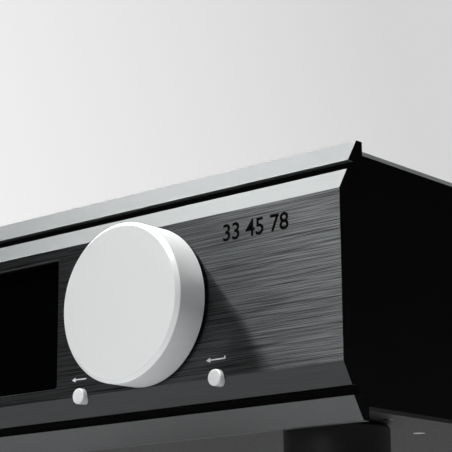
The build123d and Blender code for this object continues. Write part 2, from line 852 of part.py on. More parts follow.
transformer_z = base_top + pad_thickness
transformer_top = transformer_z + transformer_height
with BuildPart() as transformer:
    with BuildSketch(Plane.XY.offset(transformer_z)):
        with Locations((transformer_x, transformer_y)):
            Circle(transformer_radius)
            Circle(transformer_hole, mode=Mode.SUBTRACT)
    extrude(amount=transformer_height)
    rims = transformer.edges().filter_by(GeomType.CIRCLE).group_by(SortBy.RADIUS)[-1]
    chamfer(rims, transformer_chamfer)

with BuildPart() as transformer_pads:
    with BuildSketch(base_inner, Plane.XY.offset(transformer_top)):
        with Locations((transformer_x, transformer_y)):
            Circle(clamp_radius)
            Circle(bolt_radius + screw_gap, mode=Mode.SUBTRACT)
    extrude(amount=pad_thickness)

clamp_z = transformer_top + pad_thickness
with BuildPart() as transformer_clamp:
    with BuildSketch(Plane.XY.offset(clamp_z)):
        with Locations((transformer_x, transformer_y)):
            Circle(clamp_radius)
            Circle(bolt_radius + screw_gap, mode=Mode.SUBTRACT)
    extrude(amount=clamp_thickness)

with BuildPart() as transformer_bolt:
    with BuildSketch(Plane.XY.offset(clamp_z + clamp_thickness)):
        with Locations((transformer_x, transformer_y)):
            RegularPolygon(bolt_head_radius, 6)
    extrude(amount=bolt_head_height)
    with BuildSketch(Plane.XY.offset(clamp_z + clamp_thickness)):
        with Locations((transformer_x, transformer_y)):
            Circle(bolt_radius)
    extrude(amount=-(clamp_z + clamp_thickness - base_top + plate_thickness))

# ================================================================ signal parts
main_board_rear = main_board_y + main_board_length / 2
can_y = main_board_rear - can_rear_gap - can_length / 2
can_x = main_board_x + main_board_width / 2 - board_edge * 2 - can_width / 2
with BuildPart() as shield_can:
    with BuildSketch(Plane.XY.offset(board_top_z)):
        with Locations((can_x, can_y)):
            Rectangle(can_width, can_length)
    extrude(amount=can_height)
    offset(amount=-can_wall, openings=shield_can.faces().sort_by(Axis.Z)[0])

relay_x = can_x - can_width / 2 - wall_gap - relay_length / 2
with BuildPart() as relays:
    with BuildSketch(Plane.XY.offset(board_top_z)):
        with Locations((relay_x, can_y)):
            with GridLocations(0, relay_pitch, 1, 4):
                Rectangle(relay_length, relay_width)
    extrude(amount=relay_height)

film_y = can_y - can_length / 2 - wall_gap - film_pitch
with BuildPart() as film_capacitors:
    with BuildSketch(Plane.XY.offset(board_top_z)):
        with Locations((main_board_x, film_y)):
            with GridLocations(film_pitch, film_pitch + wall_gap, 4, 2):
                Rectangle(film_width, film_length)
    extrude(amount=film_height)

# ================================================================ mains inlet
mouth = rear.offset(inlet_flange_thickness)
cavity_x = inlet_body_width / 2 - inlet_wall
cavity_z = inlet_body_height / 2 - inlet_wall
blade_points = [
    (inlet_x - blade_pitch, -earth_offset / 2),
    (inlet_x, earth_offset / 2),
    (inlet_x + blade_pitch, -earth_offset / 2),
]

with BuildPart() as mains_inlet:
    with BuildSketch(rear):
        with Locations((inlet_x, 0)):
            RectangleRounded(inlet_flange_width, inlet_flange_height, inlet_flange_corner)
    extrude(amount=inlet_flange_thickness)
    with BuildSketch(rear):
        with Locations((inlet_x, 0)):
            Rectangle(inlet_body_width, inlet_body_height)
    extrude(amount=-(inlet_depth + inlet_floor - inlet_flange_thickness))
    # Six-sided cavity: two corners are cut off, so that a plug goes in one way up.
    with BuildSketch(mouth):
        with BuildLine():
            Polyline(
                (inlet_x - cavity_x, -cavity_z),
                (inlet_x + cavity_x, -cavity_z),
                (inlet_x + cavity_x, cavity_z - inlet_corner_cut),
                (inlet_x + cavity_x - inlet_corner_cut, cavity_z),
                (inlet_x - cavity_x + inlet_corner_cut, cavity_z),
                (inlet_x - cavity_x, cavity_z - inlet_corner_cut),
                close=True,
            )
        make_face()
    extrude(amount=-inlet_depth, mode=Mode.SUBTRACT)
    with BuildSketch(mouth.offset(-inlet_depth)):
        with Locations(*blade_points):
            Rectangle(blade_thickness + 2 * thread_gap, blade_width + 2 * thread_gap)
    extrude(amount=-inlet_floor, mode=Mode.SUBTRACT)
    with Locations(mouth):
        with Locations(*inlet_screw_points):
            CounterSinkHole(
                screw_radius + screw_gap,
                screw_head_radius + fit_gap,
                inlet_flange_thickness,
                counter_sink_angle=90,
            )

with BuildPart() as inlet_blades:
    with BuildSketch(mouth.offset(blade_length - inlet_depth)):
        with Locations(*blade_points):
            Rectangle(blade_thickness, blade_width)
    extrude(amount=-(blade_length + inlet_floor + blade_tail))

inlet_screws = countersunk_screws(mouth, inlet_screw_points, screw_radius, screw_head_radius, screw_length)

# ================================================================ mains switch
rocker_face = rear.offset(rocker_flange_thickness)
rocker_cavity_width = rocker_body_width - 2 * rocker_wall
rocker_cavity_height = rocker_body_height - 2 * rocker_wall
pivot_y = y_rear + rocker_flange_thickness - rocker_pivot_depth
pivot_plane = Plane(origin=(-rocker_x, pivot_y, middle_z), x_dir=(0, 1, 0), z_dir=(1, 0, 0))
rocker_width = rocker_cavity_width - 2 * rocker_gap
rocker_radius = rocker_cavity_height / 2 - rocker_gap

with BuildPart() as switch_housing:
    with BuildSketch(rear):
        with Locations((rocker_x, 0)):
            RectangleRounded(rocker_flange_width, rocker_flange_height, rocker_wall)
    extrude(amount=rocker_flange_thickness)
    with BuildSketch(rear):
        with Locations((rocker_x, 0)):
            Rectangle(rocker_body_width, rocker_body_height)
    extrude(amount=-(rocker_body_depth - rocker_flange_thickness))
    with BuildSketch(rocker_face):
        with Locations((rocker_x, 0)):
            Rectangle(rocker_cavity_width, rocker_cavity_height)
    extrude(amount=-(rocker_body_depth - rocker_floor), mode=Mode.SUBTRACT)
    with Locations(pivot_plane):
        Cylinder(rocker_pivot_radius + running_gap, rocker_body_width, mode=Mode.SUBTRACT)

# Rocker: a drum about its pivot with two flats that meet in a shallow V, one of them flush.
rocker_slope = math.tan(math.radians(rocker_throw))
rocker_reach = 2 * rocker_radius
with BuildPart() as power_rocker:
    with BuildSketch(pivot_plane.offset(-rocker_width / 2)):
        Circle(rocker_radius)
        with BuildLine():
            Polyline(
                (rocker_pivot_depth, 0),
                (rocker_pivot_depth + rocker_reach * rocker_slope, rocker_reach),
                (rocker_pivot_depth + rocker_reach, rocker_reach),
                (rocker_pivot_depth + rocker_reach, -rocker_reach),
                (rocker_pivot_depth, -rocker_reach),
                close=True,
            )
        make_face(mode=Mode.SUBTRACT)
    extrude(amount=rocker_width)
    with Locations(pivot_plane):
        Cylinder(rocker_pivot_radius, rocker_width + 2 * rocker_gap + rocker_wall)

# ================================================================ rear sockets
def phono_sockets(points):
    """Turned phono sockets: a barrel, a flange that clamps on its ring, and a threaded neck."""
    with BuildPart() as sockets:
        with Locations(rear.offset(ring_thickness)):
            with Locations(*points):
                Cylinder(socket_flange_radius, socket_flange_thickness, align=BOTTOM)
                Cylinder(socket_barrel_radius, socket_flange_thickness + socket_barrel_length, align=BOTTOM)
                Cylinder(socket_neck_radius, ring_thickness + rear_thickness + socket_tail, align=TOP)
        with Locations(rear.offset(socket_reach)):
            with Locations(*points):
                Cylinder(socket_contact_radius, socket_contact_depth, align=TOP, mode=Mode.SUBTRACT)
    return sockets


def channel_rings(z):
    """Coloured insulating rings under the sockets of one channel."""
    with BuildPart() as rings:
        with BuildSketch(rear):
            with Locations(*[(x, z) for x in (*input_columns, output_column)]):
                Circle(ring_radius)
                Circle(socket_neck_radius + thread_gap, mode=Mode.SUBTRACT)
        extrude(amount=ring_thickness)
    return rings


phono_input_sockets = phono_sockets(input_points)
output_sockets = phono_sockets(output_points)
left_channel_rings = channel_rings(socket_spread / 2)
right_channel_rings = channel_rings(-socket_spread / 2)

with BuildPart() as socket_nuts:
    with BuildSketch(rear_inner):
        with Locations(*socket_points):
            RegularPolygon(socket_nut_radius, 6)
            Circle(socket_neck_radius + thread_gap, mode=Mode.SUBTRACT)
    extrude(amount=-socket_nut_thickness)

with BuildPart(rear) as ground_post:
    with Locations((ground_x, 0)):
        Cylinder(ground_collar_radius, ground_collar_thickness, align=BOTTOM)
        Cylinder(ground_stud_radius, ground_reach, align=BOTTOM)
        Cylinder(ground_stud_radius, rear_thickness + stud_tail, align=TOP)

with BuildPart() as ground_thumb_nut:
    with BuildSketch(rear.offset(ground_nut_start)):
        with Locations((ground_x, 0)):
            Circle(thumb_nut_radius)
            Circle(ground_stud_radius + running_gap, mode=Mode.SUBTRACT)
            with PolarLocations(thumb_nut_radius, thumb_nut_flutes):
                Circle(flute_radius, mode=Mode.SUBTRACT)
    extrude(amount=thumb_nut_length)

# ================================================================ feet
foot_top = middle_z - shell_half
pad_seat = foot_pad_thickness - foot_pad_proud
head_room = foot_screw_head_height + fit_gap

with BuildPart() as feet:
    with BuildSketch(Plane.XY.offset(foot_pad_proud)):
        with Locations(*foot_points):
            Circle(foot_radius)
    extrude(amount=foot_top - foot_pad_proud)
    rims = feet.edges().filter_by(GeomType.CIRCLE)
    chamfer(rims, foot_edge)
    with BuildSketch(Plane.XY.offset(foot_pad_proud)):
        with Locations(*foot_points):
            Circle(foot_pad_radius + fit_gap)
    extrude(amount=pad_seat, mode=Mode.SUBTRACT)
    with BuildSketch(Plane.XY.offset(foot_pad_proud + pad_seat)):
        with Locations(*foot_points):
            Circle(foot_screw_head_radius + screw_gap)
    extrude(amount=head_room, mode=Mode.SUBTRACT)
    with BuildSketch(Plane.XY.offset(foot_pad_proud)):
        with Locations(*foot_points):
            Circle(foot_screw_radius + screw_gap)
    extrude(amount=foot_top, mode=Mode.SUBTRACT)

with BuildPart() as foot_pads:
    with BuildSketch(Plane.XY):
        with Locations(*foot_points):
            Circle(foot_pad_radius)
    extrude(amount=foot_pad_thickness)

foot_screw_seat = foot_pad_proud + pad_seat + head_room
foot_screws = pan_screws(
    Plane(origin=(0, 0, foot_screw_seat), x_dir=(1, 0, 0), z_dir=(0, 0, -1)),
    [(x, -y) for x, y in foot_points],
    foot_screw_radius,
    foot_screw_head_radius,
    foot_screw_head_height,
    foot_top - foot_screw_seat + plate_thickness + 2 * foot_screw_radius,
)

# ================================================================ export
pieces = {
    "front_panel": front_panel,
    "front_subframe": front_subframe,
    "top_trim_bar": top_trim_bar,
    "bottom_trim_bar": bottom_trim_bar,
    "trim_screws": trim_screws,
    "frame_screws": frame_screws,
    "panel_screws": panel_screws,
    "display_window": display_window,
    "display_gasket": display_gasket,
    "display_module": display_module,
    "main_knob": main_knob,
    "knob_grub_screw": knob_grub_screw,
    "encoder_shaft": encoder_shaft,
    "encoder_body": encoder_body,
    "encoder_nut": encoder_nut,
    "back_button": back_button,
    "enter_button": enter_button,
    "back_plunger": back_plunger,
    "enter_plunger": enter_plunger,
    "button_switches": button_switches,
    "control_board": control_board,
    "control_board_spacers": control_board_spacers,
    "control_board_screws": control_board_screws,
    "left_side_panel": left_side_panel,
    "right_side_panel": right_side_panel,
    "top_cover": top_cover,
    "cover_screws": cover_screws,
    "base_plate": base_plate,
    "base_screws": base_screws,
    "rear_panel": rear_panel,
    "rear_screws": rear_screws,
    "main_board": main_board,
    "power_board": power_board,
    "board_standoffs": board_standoffs,
    "board_screws": board_screws,
    "filter_capacitors": filter_capacitors,
    "heat_sink": heat_sink,
    "regulators": regulators,
    "transformer": transformer,
    "transformer_pads": transformer_pads,
    "transformer_clamp": transformer_clamp,
    "transformer_bolt": transformer_bolt,
    "shield_can": shield_can,
    "relays": relays,
    "film_capacitors": film_capacitors,
    "mains_inlet": mains_inlet,
    "inlet_blades": inlet_blades,
    "inlet_screws": inlet_screws,
    "switch_housing": switch_housing,
    "power_rocker": power_rocker,
    "phono_input_sockets": phono_input_sockets,
    "output_sockets": output_sockets,
    "left_channel_rings": left_channel_rings,
    "right_channel_rings": right_channel_rings,
    "socket_nuts": socket_nuts,
    "ground_post": ground_post,
    "ground_thumb_nut": ground_thumb_nut,
    "feet": feet,
    "foot_pads": foot_pads,
    "foot_screws": foot_screws,
}

os.makedirs("parts", exist_ok=True)
for label, piece in pieces.items():
    piece.part.label = label
    export_step(piece.part, f"parts/{label}.step")
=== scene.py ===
import json
import math

import bmesh
import bpy
from mathutils import Matrix, Vector


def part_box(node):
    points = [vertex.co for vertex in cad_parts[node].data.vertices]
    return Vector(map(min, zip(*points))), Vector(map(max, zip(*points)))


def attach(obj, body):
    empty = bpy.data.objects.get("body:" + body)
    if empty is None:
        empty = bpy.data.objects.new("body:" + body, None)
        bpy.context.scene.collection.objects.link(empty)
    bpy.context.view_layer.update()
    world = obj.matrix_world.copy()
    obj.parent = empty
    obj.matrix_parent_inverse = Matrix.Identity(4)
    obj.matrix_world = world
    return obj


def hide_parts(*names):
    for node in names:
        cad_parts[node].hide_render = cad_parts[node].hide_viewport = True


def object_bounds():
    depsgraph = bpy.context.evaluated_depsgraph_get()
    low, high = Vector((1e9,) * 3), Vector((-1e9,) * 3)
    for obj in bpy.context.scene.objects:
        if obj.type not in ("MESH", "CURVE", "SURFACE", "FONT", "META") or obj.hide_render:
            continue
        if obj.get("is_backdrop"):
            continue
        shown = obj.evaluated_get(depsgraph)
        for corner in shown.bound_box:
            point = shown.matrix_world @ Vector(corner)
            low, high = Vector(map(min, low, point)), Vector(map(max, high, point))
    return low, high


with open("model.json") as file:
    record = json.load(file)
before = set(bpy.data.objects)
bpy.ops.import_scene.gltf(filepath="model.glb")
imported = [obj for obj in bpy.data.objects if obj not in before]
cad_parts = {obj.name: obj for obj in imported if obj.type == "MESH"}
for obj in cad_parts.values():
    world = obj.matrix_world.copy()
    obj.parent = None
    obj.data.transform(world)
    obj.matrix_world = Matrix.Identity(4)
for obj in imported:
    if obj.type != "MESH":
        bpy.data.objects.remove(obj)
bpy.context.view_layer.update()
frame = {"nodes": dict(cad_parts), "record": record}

# Phono preamplifier: finishes, broken edges, turned parts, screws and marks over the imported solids.
# Metres. X runs along the front, Y from front to back and Z up; the front looks along -Y.

MM = 0.001
WELD = 0.002 * MM  # corners closer than this are one
FLAT = math.radians(0.5)  # faces that differ by less are one
CREASE = math.radians(28)  # edges sharper than this stay sharp
SQUARE = 0.9  # a face looks along an axis if its normal's share of that axis is more than this
TOWARDS = {
    "up": Matrix.Identity(4),
    "down": Matrix.Rotation(math.pi, 4, "X"),
    "front": Matrix.Rotation(math.pi / 2, 4, "X"),
    "rear": Matrix.Rotation(-math.pi / 2, 4, "X"),
}


# ---------------------------------------------------------------- small helpers
def colour(code):
    """A hex sRGB colour as linear RGBA."""
    channels = [int(code[i : i + 2], 16) / 255 for i in (1, 3, 5)]
    return tuple(c / 12.92 if c <= 0.04045 else ((c + 0.055) / 1.055) ** 2.4 for c in channels) + (1.0,)


def add(tree, kind, inputs=None, **settings):
    """Adds one node. Inputs are values or the sockets that feed them; settings are its properties."""
    node = tree.nodes.new(kind)
    for name, value in settings.items():
        setattr(node, name, value)
    for name, value in (inputs or {}).items():
        if isinstance(value, bpy.types.NodeSocket):
            tree.links.new(value, node.inputs[name])
        else:
            node.inputs[name].default_value = value
    return node


def maths(tree, operation, *values):
    """Adds one step of arithmetic and returns the socket that holds its result."""
    step = add(tree, "ShaderNodeMath", dict(enumerate(values)), operation=operation)
    return step.outputs["Value"]


def middle(node):
    """The middle of a CAD node's box."""
    low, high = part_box(node)
    return (low + high) / 2


def piece(name, mesh, body, nodes=()):
    """Puts a mesh in the scene as a piece that rides on a body, in place of the CAD nodes named."""
    made = bpy.data.objects.new(name, mesh)
    bpy.context.scene.collection.objects.link(made)
    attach(made, body)
    if nodes:
        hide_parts(*nodes)
    return made


# ---------------------------------------------------------------- finishes
def finish(name, dark, light, grain, roughness, relief, stretch=(1, 1, 1), detail=3.0, soft=0.2, **shader):
    """A surface with a grain: its shade, roughness and relief all follow one noise.

    grain is the size of one speck in metres and stretch draws specks out along an axis.
    roughness is (least, most). relief is the height of the grain in metres. The smaller soft is,
    the more the grain stands out.
    """
    material = bpy.data.materials.new(name)
    material.use_nodes = True
    tree = material.node_tree
    tree.nodes.clear()
    place = add(tree, "ShaderNodeTexCoord")
    pitch = [1 / (grain * s) for s in stretch]
    scaled = add(tree, "ShaderNodeMapping", {"Vector": place.outputs["Object"], "Scale": pitch})
    specks = {"Vector": scaled.outputs["Vector"], "Scale": 1.0, "Detail": detail}
    noise = add(tree, "ShaderNodeTexNoise", specks)
    contrast = {"Value": noise.outputs["Fac"], "From Min": 0.5 - soft, "From Max": 0.5 + soft}
    grains = add(tree, "ShaderNodeMapRange", contrast)
    # A Mix node's sockets share their names: 0 is its factor, 6 and 7 are its two colours.
    mixed = {0: grains.outputs["Result"], 6: colour(dark), 7: colour(light)}
    shade = add(tree, "ShaderNodeMix", mixed, data_type="RGBA")
    span = {"Value": grains.outputs["Result"], "To Min": roughness[0], "To Max": roughness[1]}
    gloss = add(tree, "ShaderNodeMapRange", span)
    height = {"Height": grains.outputs["Result"], "Strength": 1.0, "Distance": relief}
    bump = add(tree, "ShaderNodeBump", height)
    sockets = {
        "Base Color": shade.outputs[2],
        "Roughness": gloss.outputs["Result"],
        "Normal": bump.outputs["Normal"],
    }
    sockets.update({key.replace("_", " "): value for key, value in shader.items()})
    surface = add(tree, "ShaderNodeBsdfPrincipled", sockets)
    add(tree, "ShaderNodeOutputMaterial", {"Surface": surface.outputs["BSDF"]})
    return material


# Black anodised aluminium, brushed along its length before it was dyed: fine scratches, about an
# inch long, that smear a highlight up and down.
brushed_black = finish(
    "brushed black anodised aluminium",
    "#161718",
    "#5f6162",
    grain=0.12 * MM,
    stretch=(220, 1, 1),
    roughness=(0.29, 0.4),
    relief=0.003 * MM,
    detail=5.0,
    soft=0.13,
    Metallic=1.0,
    Anisotropic=0.98,
    Anisotropic_Rotation=0.25,
)
# The upper bevel, which faces up to the lamps: the bevel finish in a lighter copy, painted light; smooth
# and silky.
bevel_painted_light = finish(
    "upper bevel aluminium with painted light",
    "#666868",
    "#6a6c6c",
    grain=0.4 * MM,
    stretch=(60, 1, 1),
    roughness=(0.51, 0.55),
    relief=0.0006 * MM,
    Metallic=1.0,
)
# The lower bevel, which faces down: the same bevel finish in a darker copy, painted shade, with a smooth
# dark grey sheen.
bevel_painted_shade = finish(
    "lower bevel aluminium with painted shade",
    "#464748",
    "#4b4c4c",
    grain=0.6 * MM,
    stretch=(40, 1, 1),
    roughness=(0.28, 0.34),
    relief=0.0006 * MM,
    Metallic=1.0,
)
# Satin silver anodised aluminium: etched, so it has a soft even sheen and no lines.
satin_silver = finish(
    "satin silver anodised aluminium",
    "#676869",
    "#6d6f6f",
    grain=0.35 * MM,
    stretch=(30, 1, 1),
    roughness=(0.52, 0.57),
    relief=0.0008 * MM,
    Metallic=1.0,
)
# Edge of the lid, trimmed after anodising: bare aluminium, pale against the black side.
cut_edge = finish(
    "trimmed aluminium edge",
    "#b4b5b6",
    "#c8c9ca",
    grain=0.3 * MM,
    stretch=(1, 20, 1),
    roughness=(0.45, 0.55),
    relief=0.002 * MM,
    Metallic=0.4,
)
# Underside of a trim bar, which faces down into the groove: the same silver, made dull and grey as painted
# shade.
silver_painted_shade = finish(
    "silver anodised aluminium with painted shade",
    "#4e5052",
    "#565859",
    grain=0.35 * MM,
    stretch=(30, 1, 1),
    roughness=(0.5, 0.58),
    relief=0.001 * MM,
    Metallic=0.3,
)
# Fine-blasted black anodised aluminium: nearly matt, with a fine even grit.
blasted_black = finish(
    "blasted black anodised aluminium",
    "#0d0d0e",
    "#141415",
    grain=0.25 * MM,
    roughness=(0.48, 0.6),
    relief=0.006 * MM,
    Specular_IOR_Level=0.25,
)
# The side panels and the front's ends, which the lamps hardly reach: black anodised aluminium made darker
# still as painted shade, with hardly a sheen.
black_painted_shade = finish(
    "black anodised aluminium with painted shade",
    "#030303",
    "#060606",
    grain=0.25 * MM,
    roughness=(0.48, 0.6),
    relief=0.006 * MM,
    Specular_IOR_Level=0.06,
)
# Bead-blasted clear anodised aluminium: tiny pits scatter the light, so it looks pale and even.
blasted_silver = finish(
    "bead blasted silver anodised aluminium",
    "#e6e7e7",
    "#eeefef",
    grain=0.18 * MM,
    roughness=(0.5, 0.58),
    relief=0.003 * MM,
    Metallic=0.3,
)
# The chamfer round the knob, cut with a diamond tool after blasting: a clean bright ring.
diamond_cut = finish(
    "diamond cut aluminium edge",
    "#f3f4f4",
    "#f9fafa",
    grain=0.2 * MM,
    roughness=(0.36, 0.42),
    relief=0.0004 * MM,
    Metallic=0.25,
)
# Powder coated steel: a matt black skin with a slight orange peel.
powder_black = finish(
    "black powder coated steel",
    "#141516",
    "#1b1c1e",
    grain=0.7 * MM,
    roughness=(0.45, 0.6),
    relief=0.012 * MM,
    Specular_IOR_Level=0.4,
)
# Acrylic window, printed black behind and coated against reflections: deep and even.
window_black = finish(
    "coated black window",
    "#020203",
    "#030304",
    grain=2.0 * MM,
    roughness=(0.04, 0.06),
    relief=0.0001 * MM,
    Specular_IOR_Level=0.06,
)
# Glass-filled nylon for the connectors and the switch: moulded, with a fine sparked texture.
moulded_black = finish(
    "moulded black nylon",
    "#0f1011",
    "#17181a",
    grain=0.22 * MM,
    roughness=(0.38, 0.5),
    relief=0.006 * MM,
    Specular_IOR_Level=0.45,
)
# Moulded rubber: dull, a little dusty.
rubber = finish(
    "moulded black rubber",
    "#101010",
    "#1c1c1b",
    grain=0.4 * MM,
    roughness=(0.75, 0.9),
    relief=0.01 * MM,
    Specular_IOR_Level=0.3,
)
# Closed-cell foam: coarse open-looking skin.
foam = finish(
    "closed cell foam",
    "#0d0d0d",
    "#1a1a1a",
    grain=0.5 * MM,
    roughness=(0.85, 0.95),
    relief=0.05 * MM,
)
# Frame of the display module: matt black plastic.
display_frame = finish(
    "display module frame", "#08090a", "#0e0f10", grain=0.3 * MM, roughness=(0.5, 0.6), relief=0.004 * MM
)
# Zinc plated steel: pale, slightly cloudy.
zinc_steel = finish(
    "zinc plated steel",
    "#9a9ca0",
    "#b4b6b9",
    grain=0.5 * MM,
    roughness=(0.25, 0.4),
    relief=0.003 * MM,
    Metallic=1.0,
)
# Black oxide steel: oily dark grey.
oxide_steel = finish(
    "black oxide steel",
    "#1b1c1e",
    "#2a2b2e",
    grain=0.3 * MM,
    roughness=(0.3, 0.42),
    relief=0.003 * MM,
    Metallic=0.8,
)
# Turned and ground steel shaft: rings of tool marks across its axis, which runs along Y.
ground_steel = finish(
    "ground steel shaft",
    "#8e9094",
    "#a8aaad",
    grain=0.15 * MM,
    stretch=(20, 1, 20),
    roughness=(0.18, 0.3),
    relief=0.002 * MM,
    Metallic=1.0,
)
# Solder mask over glass epoxy: glossy green with the weave just showing.
board_green = finish(
    "green solder mask", "#0c3a22", "#125030", grain=0.6 * MM, roughness=(0.22, 0.34), relief=0.006 * MM
)
# Nickel plated brass: warm white metal.
nickel = finish(
    "nickel plated brass",
    "#b3aea4",
    "#c7c2b8",
    grain=0.3 * MM,
    roughness=(0.18, 0.28),
    relief=0.001 * MM,
    Metallic=1.0,
)
# Gold plated brass, turned: bright yellow with faint tool rings across the Y axis.
gold = finish(
    "gold plated brass",
    "#d8a64f",
    "#e8bd6c",
    grain=0.12 * MM,
    stretch=(20, 1, 20),
    roughness=(0.16, 0.26),
    relief=0.0015 * MM,
    Metallic=1.0,
)
# Fluoropolymer insulator: milky white and waxy.
insulator = finish(
    "white fluoropolymer", "#dcdbd5", "#e6e5df", grain=0.4 * MM, roughness=(0.4, 0.5), relief=0.002 * MM
)
# Nylon channel rings: moulded, with a soft sheen, white for the left channel and red for the right.
ring_white = finish(
    "moulded white nylon",
    "#d6d5cf",
    "#e0dfd9",
    grain=0.25 * MM,
    roughness=(0.35, 0.48),
    relief=0.004 * MM,
)
ring_red = finish(
    "moulded red nylon",
    "#9c1414",
    "#b01c1a",
    grain=0.25 * MM,
    roughness=(0.35, 0.48),
    relief=0.004 * MM,
)
# Polyester tape wound round the transformer: amber, glossy, in turns 8 mm wide.
amber_tape = finish(
    "amber polyester tape",
    "#a67a1e",
    "#c89a34",
    grain=8 * MM,
    stretch=(1, 1, 0.2),
    roughness=(0.15, 0.35),
    relief=0.05 * MM,
)
# Black anodised heat sink extrusion: die lines run up the fins.
sink_black = finish(
    "black anodised extrusion",
    "#141415",
    "#232426",
    grain=0.4 * MM,
    stretch=(1, 1, 30),
    roughness=(0.4, 0.5),
    relief=0.005 * MM,
    Metallic=0.5,
)
# Tinned steel sheet: bright, with faint flow marks.
tin_plate = finish(
    "tin plated steel",
    "#a9aaa8",
    "#bcbdbb",
    grain=3 * MM,
    roughness=(0.32, 0.42),
    relief=0.004 * MM,
    Metallic=1.0,
)
# Relay cases: moulded plastic, ivory and smooth.
relay_case = finish(
    "moulded ivory plastic",
    "#c4bfb0",
    "#d2cdbf",
    grain=0.3 * MM,
    roughness=(0.35, 0.45),
    relief=0.004 * MM,
)
# Film capacitors, dipped in epoxy: glossy, with a slow wave in the skin.
film_red = finish(
    "dipped red epoxy",
    "#7c140f",
    "#921c14",
    grain=1.2 * MM,
    roughness=(0.12, 0.22),
    relief=0.02 * MM,
)
# Pad-printed marks: a thin matt ink film.
white_ink = finish(
    "white printing ink",
    "#c9cacb",
    "#d8d9da",
    grain=0.15 * MM,
    roughness=(0.5, 0.6),
    relief=0.001 * MM,
)
# Paint wiped into engraved figures: flat black.
black_fill = finish(
    "black engraving paint",
    "#010101",
    "#020202",
    grain=0.2 * MM,
    roughness=(0.6, 0.75),
    relief=0.003 * MM,
    Specular_IOR_Level=0.03,
)

finish_of_slot = {
    "anodised_black_panel": brushed_black,
    "satin_silver_trim": satin_silver,
    "anodised_black_case": blasted_black,
    "black_steel": powder_black,
    "silver_knob": blasted_silver,
    "window_glass": window_black,
    "display_black": display_frame,
    "foam_black": foam,
    "rubber_black": rubber,
    "screw_steel": zinc_steel,
    "screw_black": oxide_steel,
    "shaft_steel": ground_steel,
    "plastic_black": moulded_black,
    "board_green": board_green,
    "nickel_brass": nickel,
    "gold_brass": gold,
    "ring_white": ring_white,
    "ring_red": ring_red,
    "transformer_tape": amber_tape,
    "sink_black": sink_black,
    "can_tin": tin_plate,
    "relay_plastic": relay_case,
    "film_red": film_red,
}
for part in frame["record"]["subparts"]:
    shown = frame["nodes"][part["node"]]
    if not shown.data.materials:
        shown.data.materials.append(None)
    shown.data.materials[0] = finish_of_slot[part["material_slot"]]
# The subframe shows only as the floor of the grooves, which takes the black with painted shade, standing in
# for the shade deep in the grooves.
frame["nodes"]["front_subframe"].data.materials[0] = black_painted_shade


# ---------------------------------------------------------------- pieces with broken edges
def deburred(name, node, width, materials, choose=None, body="chassis"):
    """A copy of a CAD node with its sharp edges broken, as filing or tumbling leaves them.

    choose takes a face's normal and middle and gives the number of its material.
    """
    source = bmesh.new()
    source.from_mesh(frame["nodes"][node].data)
    bmesh.ops.remove_doubles(source, verts=source.verts[:], dist=WELD)
    bmesh.ops.dissolve_limit(source, angle_limit=FLAT, verts=source.verts[:], edges=source.edges[:])
    mesh = bpy.data.meshes.new(name)
    mesh.from_pydata([v.co for v in source.verts], [], [[v.index for v in f.verts] for f in source.faces])
    source.free()
    for material in materials:
        mesh.materials.append(material)
    for face in mesh.polygons:
        face.use_smooth = True
        face.material_index = choose(face.normal, face.center) if choose else 0
    made = piece(name, mesh, body, [node])
    bevel = made.modifiers.new("broken edges", "BEVEL")
    bevel.width = width
    bevel.segments = 3
    bevel.limit_method = "ANGLE"
    bevel.angle_limit = math.radians(30)
    bevel.harden_normals = True
    return made


panel_low, panel_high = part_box("front_panel")
face_y = panel_low.y
end_x = panel_high.x
face_limit = 0.98  # the flat face's normals have more of -Y in them than this, the bevels' less
upper_bevel_limit = 9 * MM  # the upper bevel is nearer to the panel's top than this
upward_limit = 0.3  # and its normal has more of Z in it than this
back_limit = 0.8  # faces deeper in the panel than this share of its thickness are its back
end_limit = 0.9  # faces further out than this share of the half width are at an end

# The functions below return places in these lists.
panel_finishes = [brushed_black, bevel_painted_light, bevel_painted_shade, black_painted_shade]
bar_finishes = [satin_silver, black_painted_shade, silver_painted_shade]
lid_finishes = [blasted_black, cut_edge]


def at_an_end(normal, centre):
    """Whether a face looks sideways at the left or right end of the case."""
    return abs(normal.x) > SQUARE and abs(centre.x) > end_limit * end_x


def panel_finish(normal, centre):
    """Brushed face, the upper bevel in a lighter copy of the bevel finish as painted light and the lower in
    a darker copy as painted shade, with ends and back in the black with painted shade.
    """
    at_the_back = centre.y > face_y + back_limit * (panel_high.y - face_y)
    if at_an_end(normal, centre) or at_the_back:
        # The ends and back take the black with painted shade.
        return 3
    if normal.y < -face_limit:
        return 0
    near_top = centre.z > panel_high.z - upper_bevel_limit
    # Facing up near the top takes the lighter copy, painted light; the rest of the bevel takes the darker
    # copy, painted shade.
    return 1 if normal.z > upward_limit and near_top else 2


def bar_finish(normal, centre):
    """Satin bar, with ends in the black with painted shade and an underside in the grey with painted shade.
    """
    if abs(normal.x) > SQUARE:
        # The bar's ends take the black with painted shade.
        return 1
    # A face looking down is the underside, which takes the grey painted shade.
    return 2 if normal.z < -SQUARE else 0


def lid_finish(normal, centre):
    """Black lid with bare side edges."""
    return 1 if at_an_end(normal, centre) else 0


# How wide each kind of edge is broken.
crisp = 0.06 * MM
milled = 0.15 * MM
sheared = 0.2 * MM
moulded = 0.25 * MM
sawn = 0.3 * MM

deburred("front_plate", "front_panel", milled, panel_finishes, panel_finish)
for name, node in (("upper_trim", "top_trim_bar"), ("lower_trim", "bottom_trim_bar")):
    deburred(name, node, crisp, bar_finishes, bar_finish)
